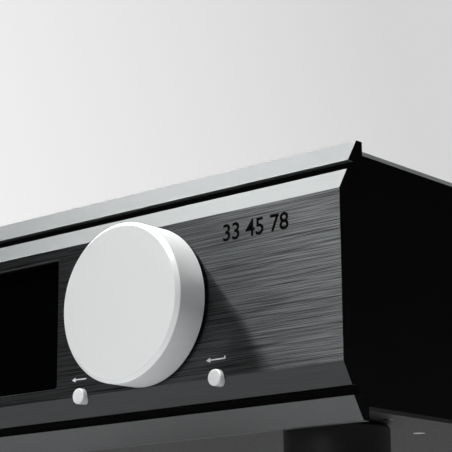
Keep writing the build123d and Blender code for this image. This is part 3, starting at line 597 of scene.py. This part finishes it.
# The cheeks take the black with painted shade.
deburred("left_cheek", "left_side_panel", sawn, [black_painted_shade])
deburred("right_cheek", "right_side_panel", sawn, [black_painted_shade])
deburred("lid", "top_cover", sheared, lid_finishes, lid_finish)
deburred("floor_plate", "base_plate", sheared, [powder_black])
deburred("rear_plate", "rear_panel", sheared, [blasted_black])
deburred("inlet_shell", "mains_inlet", moulded, [moulded_black])
deburred("inlet_pins", "inlet_blades", moulded, [nickel])
deburred("switch_shell", "switch_housing", moulded, [moulded_black])
deburred(
    "switch_rocker_cap",
    "power_rocker",
    moulded,
    [moulded_black],
    body="switch_rocker",
)


# ---------------------------------------------------------------- turned pieces
curve_steps = 5
flat_guard = 1.3  # how far the points beside a curve stand from its corner, in roundings


def eased(corners):
    """A profile with its corners rounded. A corner is (radius, height) or (radius, height, rounding)."""
    points = []
    for n, corner in enumerate(corners):
        here = Vector(corner[:2])
        rounding = corner[2] if len(corner) > 2 else 0
        if not rounding:
            points.append(here)
            continue
        back = (Vector(corners[n - 1][:2]) - here).normalized()
        on = (Vector(corners[(n + 1) % len(corners)][:2]) - here).normalized()
        # A point just outside each end of the curve keeps the flats beside it flat.
        points.append(here + back * rounding * flat_guard)
        for step in range(curve_steps + 1):
            t = step / curve_steps
            points.append(here + back * rounding * (1 - t) ** 2 + on * rounding * t**2)
        points.append(here + on * rounding * flat_guard)
    return points


def turned(name, corners, centre, towards, segments=96, ring=False):
    """A mesh turned about an axis from a profile.

    A ring's profile closes on itself; any other begins and ends on the axis.
    """
    profile = eased(corners)
    shape = bmesh.new()
    rings = []
    for radius, height in profile:
        if not radius:  # on the axis
            rings.append([shape.verts.new((0, 0, height))])
            continue
        turns = [2 * math.pi * n / segments for n in range(segments)]
        rings.append([shape.verts.new((radius * math.cos(a), radius * math.sin(a), height)) for a in turns])
    pairs = list(zip(rings, rings[1:]))
    if ring:
        pairs.append((rings[-1], rings[0]))
    for one, two in pairs:
        for n in range(segments):
            m = (n + 1) % segments
            corners_of_face = [one[n % len(one)], one[m % len(one)], two[m % len(two)], two[n % len(two)]]
            shape.faces.new(list(dict.fromkeys(corners_of_face)))
    bmesh.ops.recalc_face_normals(shape, faces=shape.faces[:])
    mesh = bpy.data.meshes.new(name)
    shape.to_mesh(mesh)
    shape.free()
    mesh.transform(Matrix.Translation(centre) @ TOWARDS[towards])
    mesh.shade_smooth()
    mesh.set_sharp_from_angle(angle=CREASE)
    return mesh


def drilled(mesh, radius, place, direction):
    """The mesh with a round hole cut from a place outwards."""
    drill_length = 100 * MM  # right through to the outside
    shape = bmesh.new()
    out = direction.normalized()
    turn = out.to_track_quat("Z", "Y").to_matrix().to_4x4()
    bmesh.ops.create_cone(
        shape,
        cap_ends=True,
        segments=48,
        radius1=radius,
        radius2=radius,
        depth=drill_length,
        matrix=Matrix.Translation(place + out * drill_length / 2) @ turn,
    )
    drill_mesh = bpy.data.meshes.new("drill")
    shape.to_mesh(drill_mesh)
    shape.free()
    drill = bpy.data.objects.new("drill", drill_mesh)
    blank = bpy.data.objects.new("blank", mesh)
    for thing in (drill, blank):
        bpy.context.scene.collection.objects.link(thing)
    cut = blank.modifiers.new("hole", "BOOLEAN")
    cut.operation = "DIFFERENCE"
    cut.solver = "EXACT"
    cut.object = drill
    graph = bpy.context.evaluated_depsgraph_get()
    result = bpy.data.meshes.new_from_object(blank.evaluated_get(graph))
    result.name = mesh.name
    bpy.data.objects.remove(drill)
    bpy.data.objects.remove(blank)
    result.shade_smooth()
    result.set_sharp_from_angle(angle=CREASE)
    return result


def place_on(node, side):
    """The middle of a node's box, moved to its front or rear face along Y."""
    low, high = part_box(node)
    at = (low + high) / 2
    if side == "front":
        at.y = low.y
    if side == "rear":
        at.y = high.y
    return at


# Knob: a turned disc with a hollow back, a boss for the shaft and a chamfer cut round its front.
knob_low, knob_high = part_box("main_knob")
knob_radius = (knob_high.x - knob_low.x) / 2
knob_length = knob_high.y - knob_low.y
knob_chamfer = 1.5 * MM
knob_rim = 5.0 * MM
knob_wall = 4.0 * MM
knob_boss = 8.0 * MM
knob_bore = 3.0 * MM
knob_recess = 2.25 * MM  # from the knob's back to the end of its boss
knob_edge_round = 0.12 * MM
knob_side_round = 0.15 * MM
knob_back_round = 0.4 * MM
knob_inner_round = 0.2 * MM
grub_radius = 1.55 * MM
hollow = knob_length - knob_wall
knob_profile = [
    (0, knob_length),
    (knob_radius - knob_chamfer, knob_length, knob_edge_round),
    (knob_radius, knob_length - knob_chamfer, knob_side_round),
    (knob_radius, 0, knob_back_round),
    (knob_radius - knob_rim, 0, knob_inner_round),
    (knob_radius - knob_rim, hollow),
    (knob_boss, hollow),
    (knob_boss, knob_recess),
    (knob_bore, knob_recess),
    (knob_bore, hollow),
    (0, hollow),
]
knob_mesh = turned("volume_knob", knob_profile, place_on("main_knob", "rear"), "front", segments=192)
grub_low, grub_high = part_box("knob_grub_screw")
grub_place = (grub_low + grub_high) / 2
grub_out = (grub_place - middle("main_knob")) * Vector((1, 0, 1))
knob_mesh = drilled(knob_mesh, grub_radius, grub_place, grub_out)
knob_mesh.materials.clear()
knob_mesh.materials.append(blasted_silver)
knob_mesh.materials.append(diamond_cut)
chamfer_end_y = knob_low.y + 1.2 * knob_chamfer
slant_limit = 0.4  # the chamfer's normals have more of -Y in them than this
for face in knob_mesh.polygons:
    slanted = slant_limit < -face.normal.y < SQUARE
    face.material_index = 1 if slanted and face.center.y < chamfer_end_y else 0
piece("volume_knob", knob_mesh, "knob", ["main_knob"])

# Keys: a cap through the panel, the flange that keeps it in and the stem behind.
key_radius = 3.1 * MM
key_flange = 4.5 * MM
key_flange_thickness = 1.2 * MM
key_stem = 1.75 * MM
key_flange_from_front = 6.95 * MM
key_front_round = 0.6 * MM
key_flange_round = 0.1 * MM
key_stem_round = 0.2 * MM
for node, body in (("back_button", "back_key"), ("enter_button", "enter_key")):
    key_low, key_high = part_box(node)
    length = key_high.y - key_low.y
    flange_front = length - key_flange_from_front
    flange_back = flange_front - key_flange_thickness
    key_profile = [
        (0, length),
        (key_radius, length, key_front_round),
        (key_radius, flange_front),
        (key_flange, flange_front, key_flange_round),
        (key_flange, flange_back, key_flange_round),
        (key_stem, flange_back),
        (key_stem, 0, key_stem_round),
        (0, 0),
    ]
    key_mesh = turned(node + "_cap", key_profile, place_on(node, "rear"), "front", segments=96)
    key_mesh.materials.append(blasted_silver)
    piece(node + "_cap", key_mesh, body, [node])


# ---------------------------------------------------------------- pieces that repeat
def solids_of(node):
    """(lowest corner, highest corner) of each solid of a CAD node, in order of lowest corner."""
    shape = bmesh.new()
    shape.from_mesh(frame["nodes"][node].data)
    bmesh.ops.remove_doubles(shape, verts=shape.verts[:], dist=WELD)
    left = set(shape.verts)
    boxes = []
    while left:
        found = {left.pop()}
        waiting = list(found)
        while waiting:
            vert = waiting.pop()
            for edge in vert.link_edges:
                other = edge.other_vert(vert)
                if other in left:
                    left.remove(other)
                    found.add(other)
                    waiting.append(other)
        columns = list(zip(*(v.co for v in found)))
        boxes.append((Vector([min(c) for c in columns]), Vector([max(c) for c in columns])))
    shape.free()
    return sorted(boxes, key=lambda box: tuple(round(c, 5) for c in box[0]))


def node_tree(name, sizes):
    """A Geometry Nodes tree whose inputs are points, the sizes named, a turn and a material."""
    tree = bpy.data.node_groups.new(name, "GeometryNodeTree")
    tree.interface.new_socket("Geometry", in_out="OUTPUT", socket_type="NodeSocketGeometry")
    kinds = {"Points": "NodeSocketGeometry"}
    kinds.update({size: "NodeSocketFloat" for size in sizes})
    kinds.update({"Turn": "NodeSocketVector", "Material": "NodeSocketMaterial"})
    for label, kind in kinds.items():
        tree.interface.new_socket(label, in_out="INPUT", socket_type=kind)
    return tree, add(tree, "NodeGroupInput")


def lowered(tree, geometry, height):
    """Moves geometry along Z by a height that is a socket, and returns the socket it comes out of."""
    step = add(tree, "ShaderNodeCombineXYZ", {"Z": height})
    moving = {"Geometry": geometry, "Translation": step.outputs["Vector"]}
    return add(tree, "GeometryNodeTransform", moving).outputs["Geometry"]


def close_tree(tree, given, shape):
    """Ends a tree: a copy of the shape on each point, turned, made of real faces and coated."""
    turn = add(tree, "FunctionNodeEulerToRotation", {"Euler": given.outputs["Turn"]})
    copies = {"Points": given.outputs["Points"], "Instance": shape, "Rotation": turn.outputs["Rotation"]}
    set_out = add(tree, "GeometryNodeInstanceOnPoints", copies)
    real = add(tree, "GeometryNodeRealizeInstances", {"Geometry": set_out.outputs["Instances"]})
    faceted = {"Geometry": real.outputs["Geometry"], "Shade Smooth": False}
    flat = add(tree, "GeometryNodeSetShadeSmooth", faceted)
    skin = {"Geometry": flat.outputs["Geometry"], "Material": given.outputs["Material"]}
    coated = add(tree, "GeometryNodeSetMaterial", skin)
    add(tree, "NodeGroupOutput", {"Geometry": coated.outputs["Geometry"]})


def grown(name, tree, centres, values):
    """Runs a tree on points at the centres and returns the result as a plain mesh."""
    points = bpy.data.meshes.new(name + "_points")
    points.from_pydata(centres, [], [])
    carrier = bpy.data.objects.new(name + "_points", points)
    bpy.context.scene.collection.objects.link(carrier)
    modifier = carrier.modifiers.new("grown", "NODES")
    modifier.node_group = tree
    for item in tree.interface.items_tree:
        if item.in_out == "INPUT" and item.name in values:
            modifier[item.identifier] = values[item.name]
    graph = bpy.context.evaluated_depsgraph_get()
    mesh = bpy.data.meshes.new_from_object(carrier.evaluated_get(graph))
    mesh.name = name
    bpy.data.objects.remove(carrier)
    return mesh


def socket_screw_tree():
    """Countersunk screws with a hexagon socket, one on each point, heads along the Turn."""
    tree, given = node_tree(
        "socket screws",
        ["Head Radius", "Head Depth", "Shank Radius", "Length", "Socket Radius", "Socket Depth"],
    )
    sizes = given.outputs
    cone = add(
        tree,
        "GeometryNodeMeshCone",
        {
            "Vertices": 40,
            "Radius Top": sizes["Head Radius"],
            "Radius Bottom": sizes["Shank Radius"],
            "Depth": sizes["Head Depth"],
        },
    )
    # The cone stands on the plane, so it's let down by its depth and its top lies in the plane.
    down = maths(tree, "MULTIPLY", sizes["Head Depth"], -1.0)
    head = lowered(tree, cone.outputs["Mesh"], down)
    drive = add(
        tree,
        "GeometryNodeMeshCylinder",
        {"Vertices": 6, "Radius": sizes["Socket Radius"], "Depth": sizes["Socket Depth"]},
    )
    bored = add(
        tree,
        "GeometryNodeMeshBoolean",
        {"Mesh 1": head, "Mesh 2": drive.outputs["Mesh"]},
        operation="DIFFERENCE",
    )
    shank = add(
        tree,
        "GeometryNodeMeshCylinder",
        {"Vertices": 16, "Radius": sizes["Shank Radius"], "Depth": sizes["Length"]},
    )
    half = maths(tree, "MULTIPLY", sizes["Length"], -0.5)
    stem = lowered(tree, shank.outputs["Mesh"], maths(tree, "ADD", half, down))
    whole = add(tree, "GeometryNodeJoinGeometry")
    tree.links.new(bored.outputs["Mesh"], whole.inputs["Geometry"])
    tree.links.new(stem, whole.inputs["Geometry"])
    close_tree(tree, given, whole.outputs["Geometry"])
    return tree


screws = socket_screw_tree()
shank_radius = 1.5 * MM
socket_radius = 1.15 * MM
socket_depth = 2.2 * MM
head_gap = 0.03 * MM
for name, node, towards in (
    ("lid_screws", "cover_screws", "up"),
    ("floor_plate_screws", "base_screws", "down"),
    ("rear_plate_screws", "rear_screws", "rear"),
    ("inlet_fixing_screws", "inlet_screws", "rear"),
):
    axis = {"up": 2, "down": 2, "rear": 1}[towards]
    centres = []
    for low, high in solids_of(node):
        at = (low + high) / 2
        at[axis] = low[axis] if towards == "down" else high[axis]
        centres.append(at)
    # A node's screws are alike, so the last one's sizes serve for all.
    head_radius = (high.x - low.x) / 2
    length = high[axis] - low[axis]
    values = {
        "Head Radius": head_radius - head_gap,
        "Head Depth": head_radius - shank_radius,
        "Shank Radius": shank_radius,
        "Length": length - (head_radius - shank_radius),
        "Socket Radius": socket_radius,
        "Socket Depth": socket_depth,
        "Turn": TOWARDS[towards].to_euler()[:],
        "Material": oxide_steel,
    }
    piece(name, grown(name, screws, centres, values), "chassis", [node])


flute_count = 28
flute_depth = 0.5 * MM
flute_fade = 12.0
facets_per_flute = 8


def knurled_tree():
    """A knurled thumb nut: its rim moves in and out with the angle, as a knurling wheel presses it."""
    tree, given = node_tree("knurled nut", ["Radius", "Height", "Flutes", "Flute Depth"])
    sizes = given.outputs
    drum = add(
        tree,
        "GeometryNodeMeshCylinder",
        {
            "Vertices": facets_per_flute * flute_count,
            "Side Segments": 12,
            "Fill Segments": 10,
            "Radius": sizes["Radius"],
            "Depth": sizes["Height"],
        },
    )
    spot = add(tree, "GeometryNodeInputPosition")
    axes = add(tree, "ShaderNodeSeparateXYZ", {"Vector": spot.outputs["Position"]})
    angle = maths(tree, "ARCTAN2", axes.outputs["Y"], axes.outputs["X"])
    wave = maths(tree, "COSINE", maths(tree, "MULTIPLY", angle, sizes["Flutes"]))
    hollow_only = maths(tree, "MAXIMUM", wave, 0.0)
    flattened = {0: spot.outputs["Position"], 1: (1, 1, 0)}
    away = add(tree, "ShaderNodeVectorMath", flattened, operation="MULTIPLY").outputs["Vector"]
    reach = add(tree, "ShaderNodeVectorMath", {0: away}, operation="LENGTH").outputs["Value"]
    # The flutes fade steeply towards the middle of the two ends.
    faded = maths(tree, "POWER", maths(tree, "DIVIDE", reach, sizes["Radius"]), flute_fade)
    depth = maths(tree, "MULTIPLY", hollow_only, sizes["Flute Depth"])
    inward = maths(tree, "MULTIPLY", maths(tree, "MULTIPLY", depth, faded), -1.0)
    outward = add(tree, "ShaderNodeVectorMath", {0: away}, operation="NORMALIZE")
    scaled = {0: outward.outputs["Vector"], "Scale": inward}
    shift = add(tree, "ShaderNodeVectorMath", scaled, operation="SCALE")
    moved = {"Geometry": drum.outputs["Mesh"], "Offset": shift.outputs["Vector"]}
    rim = add(tree, "GeometryNodeSetPosition", moved)
    close_tree(tree, given, rim.outputs["Geometry"])
    return tree


nut_low, nut_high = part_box("ground_thumb_nut")
nut_mesh = grown(
    "ground_knurled_nut",
    knurled_tree(),
    [(nut_low + nut_high) / 2],
    {
        "Radius": (nut_high.x - nut_low.x) / 2,
        "Height": nut_high.y - nut_low.y,
        "Flutes": float(flute_count),
        "Flute Depth": flute_depth,
        "Turn": TOWARDS["rear"].to_euler()[:],
        "Material": gold,
    },
)
piece("ground_knurled_nut", nut_mesh, "ground_nut", ["ground_thumb_nut"])


def joined(name, meshes, material):
    """Several meshes as one, with one material."""
    whole = bmesh.new()
    for mesh in meshes:
        whole.from_mesh(mesh)
    result = bpy.data.meshes.new(name)
    whole.to_mesh(result)
    whole.free()
    for mesh in meshes:
        bpy.data.meshes.remove(mesh)
    result.materials.append(material)
    return result


# Phono sockets: a gold shell with a flange, and a white insulator round the contact's bore.
barrel_radius = 4.15 * MM
mouth_radius = 3.3 * MM
neck_radius = 5.0 * MM
contact_radius = 1.6 * MM
contact_depth = 10.0 * MM
flange_length = 2.0 * MM
barrel_length = 8.5 * MM
mouth_recess = 0.5 * MM
mouth_round = 0.15 * MM
barrel_round = 0.3 * MM
contact_round = 0.2 * MM
for node in ("phono_input_sockets", "output_sockets"):
    shells = []
    cores = []
    for low, high in solids_of(node):
        at = (low + high) / 2
        at.y = high.y
        flange_radius = (high.x - low.x) / 2
        neck_end = low.y - high.y
        shell_profile = [
            (mouth_radius, 0, mouth_round),
            (barrel_radius, 0, barrel_round),
            (barrel_radius, -barrel_length),
            (flange_radius, -barrel_length, barrel_round),
            (flange_radius, -barrel_length - flange_length),
            (neck_radius, -barrel_length - flange_length),
            (neck_radius, neck_end, barrel_round),
            (mouth_radius, neck_end),
        ]
        core_profile = [
            (0, -contact_depth),
            (contact_radius, -contact_depth),
            (contact_radius, -mouth_recess, contact_round),
            (mouth_radius, -mouth_recess),
            (mouth_radius, neck_end),
            (0, neck_end),
        ]
        shells.append(turned(node + "_shell", shell_profile, at, "rear", segments=64, ring=True))
        cores.append(turned(node + "_core", core_profile, at, "rear", segments=48))
    piece(node + "_shells", joined(node + "_shells", shells, gold), "chassis", [node])
    piece(node + "_insulators", joined(node + "_insulators", cores, insulator), "chassis", ())

# The channel rings slip over the sockets' necks.
ring_bore = neck_radius + 0.05 * MM
ring_outer_round = 0.35 * MM
ring_inner_round = 0.15 * MM
for node, nylon, slot in (
    ("left_channel_rings", ring_white, "ring_white"),
    ("right_channel_rings", ring_red, "ring_red"),
):
    rings = []
    for low, high in solids_of(node):
        at = (low + high) / 2
        at.y = low.y
        radius, thickness = (high.x - low.x) / 2, high.y - low.y
        ring_profile = [
            (ring_bore, 0),
            (radius, 0),
            (radius, thickness, ring_outer_round),
            (ring_bore, thickness, ring_inner_round),
        ]
        rings.append(turned(node + "_ring", ring_profile, at, "rear", segments=64, ring=True))
    piece(node + "_moulded", joined(node + "_moulded", rings, nylon), "chassis", [node])

# Ground post: a collar and a threaded stud, drawn with shallow turns.
post_low, post_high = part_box("ground_post")
post_base = middle("ground_post")
post_base.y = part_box("rear_panel")[1].y
stud_radius = 2.0 * MM
collar_radius = (post_high.x - post_low.x) / 2
collar_thickness = 3.0 * MM
collar_round = 0.3 * MM
thread_pitch = 0.7 * MM
thread_depth = 0.28 * MM
thread_start = collar_thickness + 0.4 * MM
plain_end = 0.6 * MM  # length at the stud's end with no thread
stud_point = 0.5 * MM  # bevel round its end
stud_undercut = 0.1 * MM  # depth of the neck between collar and thread
stud_root = post_low.y - post_base.y
stud_end = post_high.y - post_base.y
turn_count = int((stud_end - thread_start - plain_end) / thread_pitch)
post_profile = [
    (0, stud_root),
    (stud_radius, stud_root),
    (stud_radius, 0),
    (collar_radius, 0),
    (collar_radius, collar_thickness, collar_round),
    (stud_radius - stud_undercut, collar_thickness),
]
for turn_number in range(turn_count):
    valley = thread_start + turn_number * thread_pitch
    post_profile += [(stud_radius - thread_depth, valley), (stud_radius, valley + thread_pitch / 2)]
post_profile += [(stud_radius - stud_point, stud_end), (0, stud_end)]
post_mesh = turned("ground_stud", post_profile, post_base, "rear", segments=48)
post_mesh.materials.append(gold)
piece("ground_stud", post_mesh, "chassis", ["ground_post"])

# Feet: turned aluminium cups with a rubber pad let in below.
foot_bevel = 1.5 * MM
pad_gap = 0.15 * MM
pad_seat = 2.0 * MM
cup_round = 0.4 * MM
seat_round = 0.2 * MM
pad_round = 0.6 * MM
cups = []
pads = []
for (foot_low, foot_high), (pad_low, pad_high) in zip(solids_of("feet"), solids_of("foot_pads")):
    at = (foot_low + foot_high) / 2
    at.z = foot_low.z
    radius, height = (foot_high.x - foot_low.x) / 2, foot_high.z - foot_low.z
    pad_radius, pad_height = (pad_high.x - pad_low.x) / 2, pad_high.z - pad_low.z
    cup_profile = [
        (0, height),
        (radius - foot_bevel, height),
        (radius, height - foot_bevel, cup_round),
        (radius, foot_bevel, cup_round),
        (radius - foot_bevel, 0, cup_round),
        (pad_radius + pad_gap, 0, seat_round),
        (pad_radius + pad_gap, pad_seat),
        (0, pad_seat),
    ]
    cups.append(turned("foot_cup", cup_profile, at, "up", segments=96))
    at = (pad_low + pad_high) / 2
    at.z = pad_low.z
    pad_profile = [(0, 0), (pad_radius, 0, pad_round), (pad_radius, pad_height), (0, pad_height)]
    pads.append(turned("foot_pad", pad_profile, at, "up", segments=64))
piece("foot_cups", joined("foot_cups", cups, blasted_black), "chassis", ["feet"])
piece("foot_rubbers", joined("foot_rubbers", pads, rubber), "chassis", ["foot_pads"])


# ---------------------------------------------------------------- marks
ink_height = 0.02 * MM


def flat_mark(name, outlines, x, y, z, body, material, lean=0.0, turn=0.0):
    """Thin marks from closed outlines of (right, up) points, on a face that looks along -Y.

    turn moves the face round Z and lean then tips it round X.
    """
    shape = bmesh.new()
    for outline in outlines:
        front = [shape.verts.new((px, 0, pz)) for px, pz in outline]
        face = shape.faces.new(front)
        raised = bmesh.ops.extrude_face_region(shape, geom=[face])
        for item in raised["geom"]:
            if isinstance(item, bmesh.types.BMVert):
                item.co.y -= ink_height
    bmesh.ops.recalc_face_normals(shape, faces=shape.faces[:])
    mesh = bpy.data.meshes.new(name)
    shape.to_mesh(mesh)
    shape.free()
    mesh.materials.append(material)
    faced = Matrix.Rotation(lean, 4, "X") @ Matrix.Rotation(turn, 4, "Z")
    mesh.transform(Matrix.Translation((x, y, z)) @ faced)
    return piece(name, mesh, body)


# Plain speed figures, engraved and filled with black near the front's upper right corner.
figures_from_end = 39.2 * MM
figures_from_top = 16.1 * MM
figures_place = Vector((end_x - figures_from_end, face_y, panel_high.z - figures_from_top))
figures = bpy.data.curves.new("speed_figures", "FONT")
figures.body = "33 45 78"
figures.size = 9.0 * MM
figures.offset = 0.16 * MM
figures.align_x = "CENTER"
figures.align_y = "CENTER"
figures.extrude = 0.01 * MM
figure_carrier = bpy.data.objects.new("speed_figures", figures)
bpy.context.scene.collection.objects.link(figure_carrier)
figure_graph = bpy.context.evaluated_depsgraph_get()
figure_mesh = bpy.data.meshes.new_from_object(figure_carrier.evaluated_get(figure_graph))
bpy.data.objects.remove(figure_carrier)
figure_mesh.transform(Matrix.Translation(figures_place) @ TOWARDS["front"])
figure_mesh.materials.clear()
figure_mesh.materials.append(black_fill)
piece("speed_figures", figure_mesh, "chassis")

# Arrows printed over the keys, each a little to the left of its key: a plain one for back, and one
# with a rise at its tail for enter.
arrow_height = 1.9 * MM
arrow_head = 2.0 * MM
stroke = 0.45 * MM
back_length = 8.2 * MM
enter_length = 9.4 * MM
back_shift = 1.2 * MM
enter_shift = 0.6 * MM
arrow_over_key = 6.95 * MM


def arrow(length):
    """Head on the left and a shaft to the right, centred."""
    left = -length / 2
    return [
        [(left, 0), (left + arrow_head, -arrow_height / 2), (left + arrow_head, arrow_height / 2)],
        [
            (left + arrow_head, -stroke / 2),
            (length / 2, -stroke / 2),
            (length / 2, stroke / 2),
            (left + arrow_head, stroke / 2),
        ],
    ]


rise = [
    (enter_length / 2 - stroke, stroke / 2),
    (enter_length / 2, stroke / 2),
    (enter_length / 2, arrow_height / 2),
    (enter_length / 2 - stroke, arrow_height / 2),
]
back_x = middle("back_button").x - back_shift
enter_x = middle("enter_button").x - enter_shift
arrow_z = middle("back_button").z + arrow_over_key
flat_mark("back_arrow", arrow(back_length), back_x, face_y, arrow_z, "chassis", white_ink)
flat_mark("return_arrow", arrow(enter_length) + [rise], enter_x, face_y, arrow_z, "chassis", white_ink)

# On and off marks printed on the rocker: a stroke on its proud half and a ring on its flush half.
rocker_lean = math.radians(20)
rocker_mark_out = 4.2 * MM
mark_half_width = 0.3 * MM
mark_half_height = 1.7 * MM
ring_inner = 1.15 * MM
ring_outer = 1.7 * MM
rocker_x = middle("power_rocker").x
rocker_z = middle("switch_housing").z
rocker_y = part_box("switch_housing")[1].y
stroke_outline = [
    (-mark_half_width, -mark_half_height),
    (mark_half_width, -mark_half_height),
    (mark_half_width, mark_half_height),
    (-mark_half_width, mark_half_height),
]
flat_mark(
    "on_mark",
    [stroke_outline],
    rocker_x,
    rocker_y + rocker_mark_out * math.sin(rocker_lean),
    rocker_z + rocker_mark_out * math.cos(rocker_lean),
    "switch_rocker",
    white_ink,
    lean=-rocker_lean,
    turn=math.pi,
)
off_profile = [(ring_inner, 0), (ring_outer, 0), (ring_outer, ink_height), (ring_inner, ink_height)]
off_place = Vector((rocker_x, rocker_y, rocker_z - rocker_mark_out))
off_mesh = turned("off_mark", off_profile, off_place, "rear", segments=48, ring=True)
off_mesh.materials.append(white_ink)
piece("off_mark", off_mesh, "switch_rocker")

# ---------------------------------------------------------------- floor, light and camera
shot = bpy.context.scene


def sight(tree):
    """Two sockets: 1 for a ray straight from the camera, and 1 for one off metal or through glass."""
    ray = add(tree, "ShaderNodeLightPath").outputs
    return ray["Is Camera Ray"], maths(tree, "MAXIMUM", ray["Is Glossy Ray"], ray["Is Transmission Ray"])


def floor_material():
    """Pale matt floor, which lights what stands on it like any pale floor.

    To the eye, and in metal and glass, it also has an even glow, so that it stays pale far from the
    lamps. It is one-sided to the eye, because the camera stands a little below its level.
    """
    material = bpy.data.materials.new("pale matt floor")
    material.use_nodes = True
    tree = material.node_tree
    tree.nodes.clear()
    matt = add(tree, "ShaderNodeBsdfDiffuse", {"Color": colour("#c5c6c7"), "Roughness": 0.5})
    shaded = add(tree, "ShaderNodeBsdfDiffuse", {"Color": colour("#868788"), "Roughness": 0.5})
    even = add(tree, "ShaderNodeEmission", {"Color": colour("#ffffff"), "Strength": 0.4})
    pale = add(tree, "ShaderNodeAddShader", {0: shaded.outputs["BSDF"], 1: even.outputs["Emission"]})
    clear = add(tree, "ShaderNodeBsdfTransparent")
    side = add(tree, "ShaderNodeNewGeometry")
    straight, mirrored = sight(tree)
    shown = maths(tree, "MAXIMUM", straight, mirrored)
    above = add(tree, "ShaderNodeMixShader", {0: shown, 1: matt.outputs["BSDF"], 2: pale.outputs["Shader"]})
    from_below = maths(tree, "MULTIPLY", side.outputs["Backfacing"], straight)
    sides = {0: from_below, 1: above.outputs["Shader"], 2: clear.outputs["BSDF"]}
    both = add(tree, "ShaderNodeMixShader", sides)
    add(tree, "ShaderNodeOutputMaterial", {"Surface": both.outputs["Shader"]})
    return material


floor_reach = 4.0
floor_z = -0.05 * MM
floor_mesh = bpy.data.meshes.new("floor")
corners = [(x * floor_reach, y * floor_reach, floor_z) for x, y in ((-1, -1), (1, -1), (1, 1), (-1, 1))]
floor_mesh.from_pydata(corners, [], [(0, 1, 2, 3)])
floor_mesh.materials.append(floor_material())
floor = bpy.data.objects.new("floor", floor_mesh)
shot.collection.objects.link(floor)
floor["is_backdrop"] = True

world = bpy.data.worlds.new("studio")
shot.world = world
world.use_nodes = True
tree = world.node_tree
tree.nodes.clear()
white = colour("#ffffff")
outlook = add(tree, "ShaderNodeTexCoord")
heading = add(tree, "ShaderNodeSeparateXYZ", {"Vector": outlook.outputs["Generated"]})
# The room beyond the lamps is dim.
room = add(tree, "ShaderNodeBackground", {"Color": white, "Strength": 0.015})
# What the camera sees behind the object: pale grey, a little darker towards the right.
rightward = {"Value": heading.outputs["X"], "From Min": -0.73, "From Max": -0.54}
fade = add(tree, "ShaderNodeMapRange", rightward | {"To Min": 0.865, "To Max": 0.66})
backdrop = add(tree, "ShaderNodeBackground", {"Color": white, "Strength": fade.outputs["Result"]})
# Metal and glass show it too, where it stands: behind the object and to its left.
rearward = {"Value": heading.outputs["Y"], "From Min": 0.1, "From Max": 0.5}
behind = add(tree, "ShaderNodeMapRange", rearward)
leftward = {"Value": heading.outputs["X"], "From Min": 0.0, "From Max": -0.4}
left = add(tree, "ShaderNodeMapRange", leftward)
corner = maths(tree, "MULTIPLY", behind.outputs["Result"], left.outputs["Result"])
straight, mirrored = sight(tree)
shown = maths(tree, "MAXIMUM", straight, maths(tree, "MULTIPLY", mirrored, corner))
views = {0: shown, 1: room.outputs["Background"], 2: backdrop.outputs["Background"]}
both = add(tree, "ShaderNodeMixShader", views)
add(tree, "ShaderNodeOutputWorld", {"Surface": both.outputs["Shader"]})


def softbox(name, aim, direction, distance, width, height, energy, beam=180):
    """A soft lamp that shines on a place from a direction, in a beam of so many degrees.

    Its height runs upwards, or along Y where it hangs overhead.
    """
    out = Vector(direction).normalized()
    overhead = out.z > 0.6
    lamp = bpy.data.lights.new(name, "AREA")
    lamp.shape = "RECTANGLE"
    lamp.size = width
    lamp.size_y = height
    lamp.energy = energy
    lamp.spread = math.radians(beam)
    side = Vector((0, 1, 0) if overhead else (0, 0, 1)).cross(out)
    turn = Matrix((side.normalized(), out.cross(side).normalized(), out)).transposed()
    holder = bpy.data.objects.new(name, lamp)
    holder.matrix_world = Matrix.Translation(aim + out * distance) @ turn.to_4x4()
    holder.visible_camera = False
    shot.collection.objects.link(holder)


# What the lamps are aimed at.
lamp_z = 0.06
front_right = Vector((0.2, face_y, lamp_z))
knob_front = Vector((0.04, face_y, lamp_z))
rear_middle = Vector((0.0, -face_y, lamp_z))
# The key is a strip high on the left, almost in the plane of the front: it rakes the brushed face.
from_left = (-0.6, -0.27, 0.757)
softbox("key_strip", front_right, from_left, distance=2.4, width=0.3, height=0.6, energy=0.68, beam=20)
# A lamp over the knob brightens the top of its side and the floor in front.
from_above = (0.04, -0.2, 1.0)
softbox(
    "overhead_light", knob_front, from_above, distance=1.2, width=0.45, height=0.45, energy=2.8, beam=60
)
# A weak lamp in front fills in the knob's face.
from_ahead = (0.14, -0.95, 0.25)
softbox("front_light", knob_front, from_ahead, distance=1.7, width=0.6, height=0.9, energy=5.2)
# The rear has a lamp of its own, which doesn't reach the front.
from_behind = (-0.3, 1.0, 0.5)
softbox("rear_light", rear_middle, from_behind, distance=1.5, width=0.8, height=0.8, energy=10)

# The camera stands to the right of the front and a little below the floor, with a long lens.
camera_place = Vector((489.6, -593.1, -57.9)) * MM
camera_yaw = math.radians(40.98)
camera_pitch = math.radians(13.83)
camera_roll = math.radians(-0.41)
focal_pixels = 1650
frame_pixels = 452
lens = bpy.data.cameras.new("camera")
lens.sensor_width = 36
lens.lens = focal_pixels * lens.sensor_width / frame_pixels
lens.shift_y = -0.5 / frame_pixels
lens.clip_start = 0.01
camera = bpy.data.objects.new("camera", lens)
turned_to = Matrix.Rotation(camera_yaw, 4, "Z") @ Matrix.Rotation(math.pi / 2 + camera_pitch, 4, "X")
camera.matrix_world = Matrix.Translation(camera_place) @ turned_to @ Matrix.Rotation(camera_roll, 4, "Z")
shot.collection.objects.link(camera)
shot.camera = camera
shot.view_settings.view_transform = "Standard"

low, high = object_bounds()
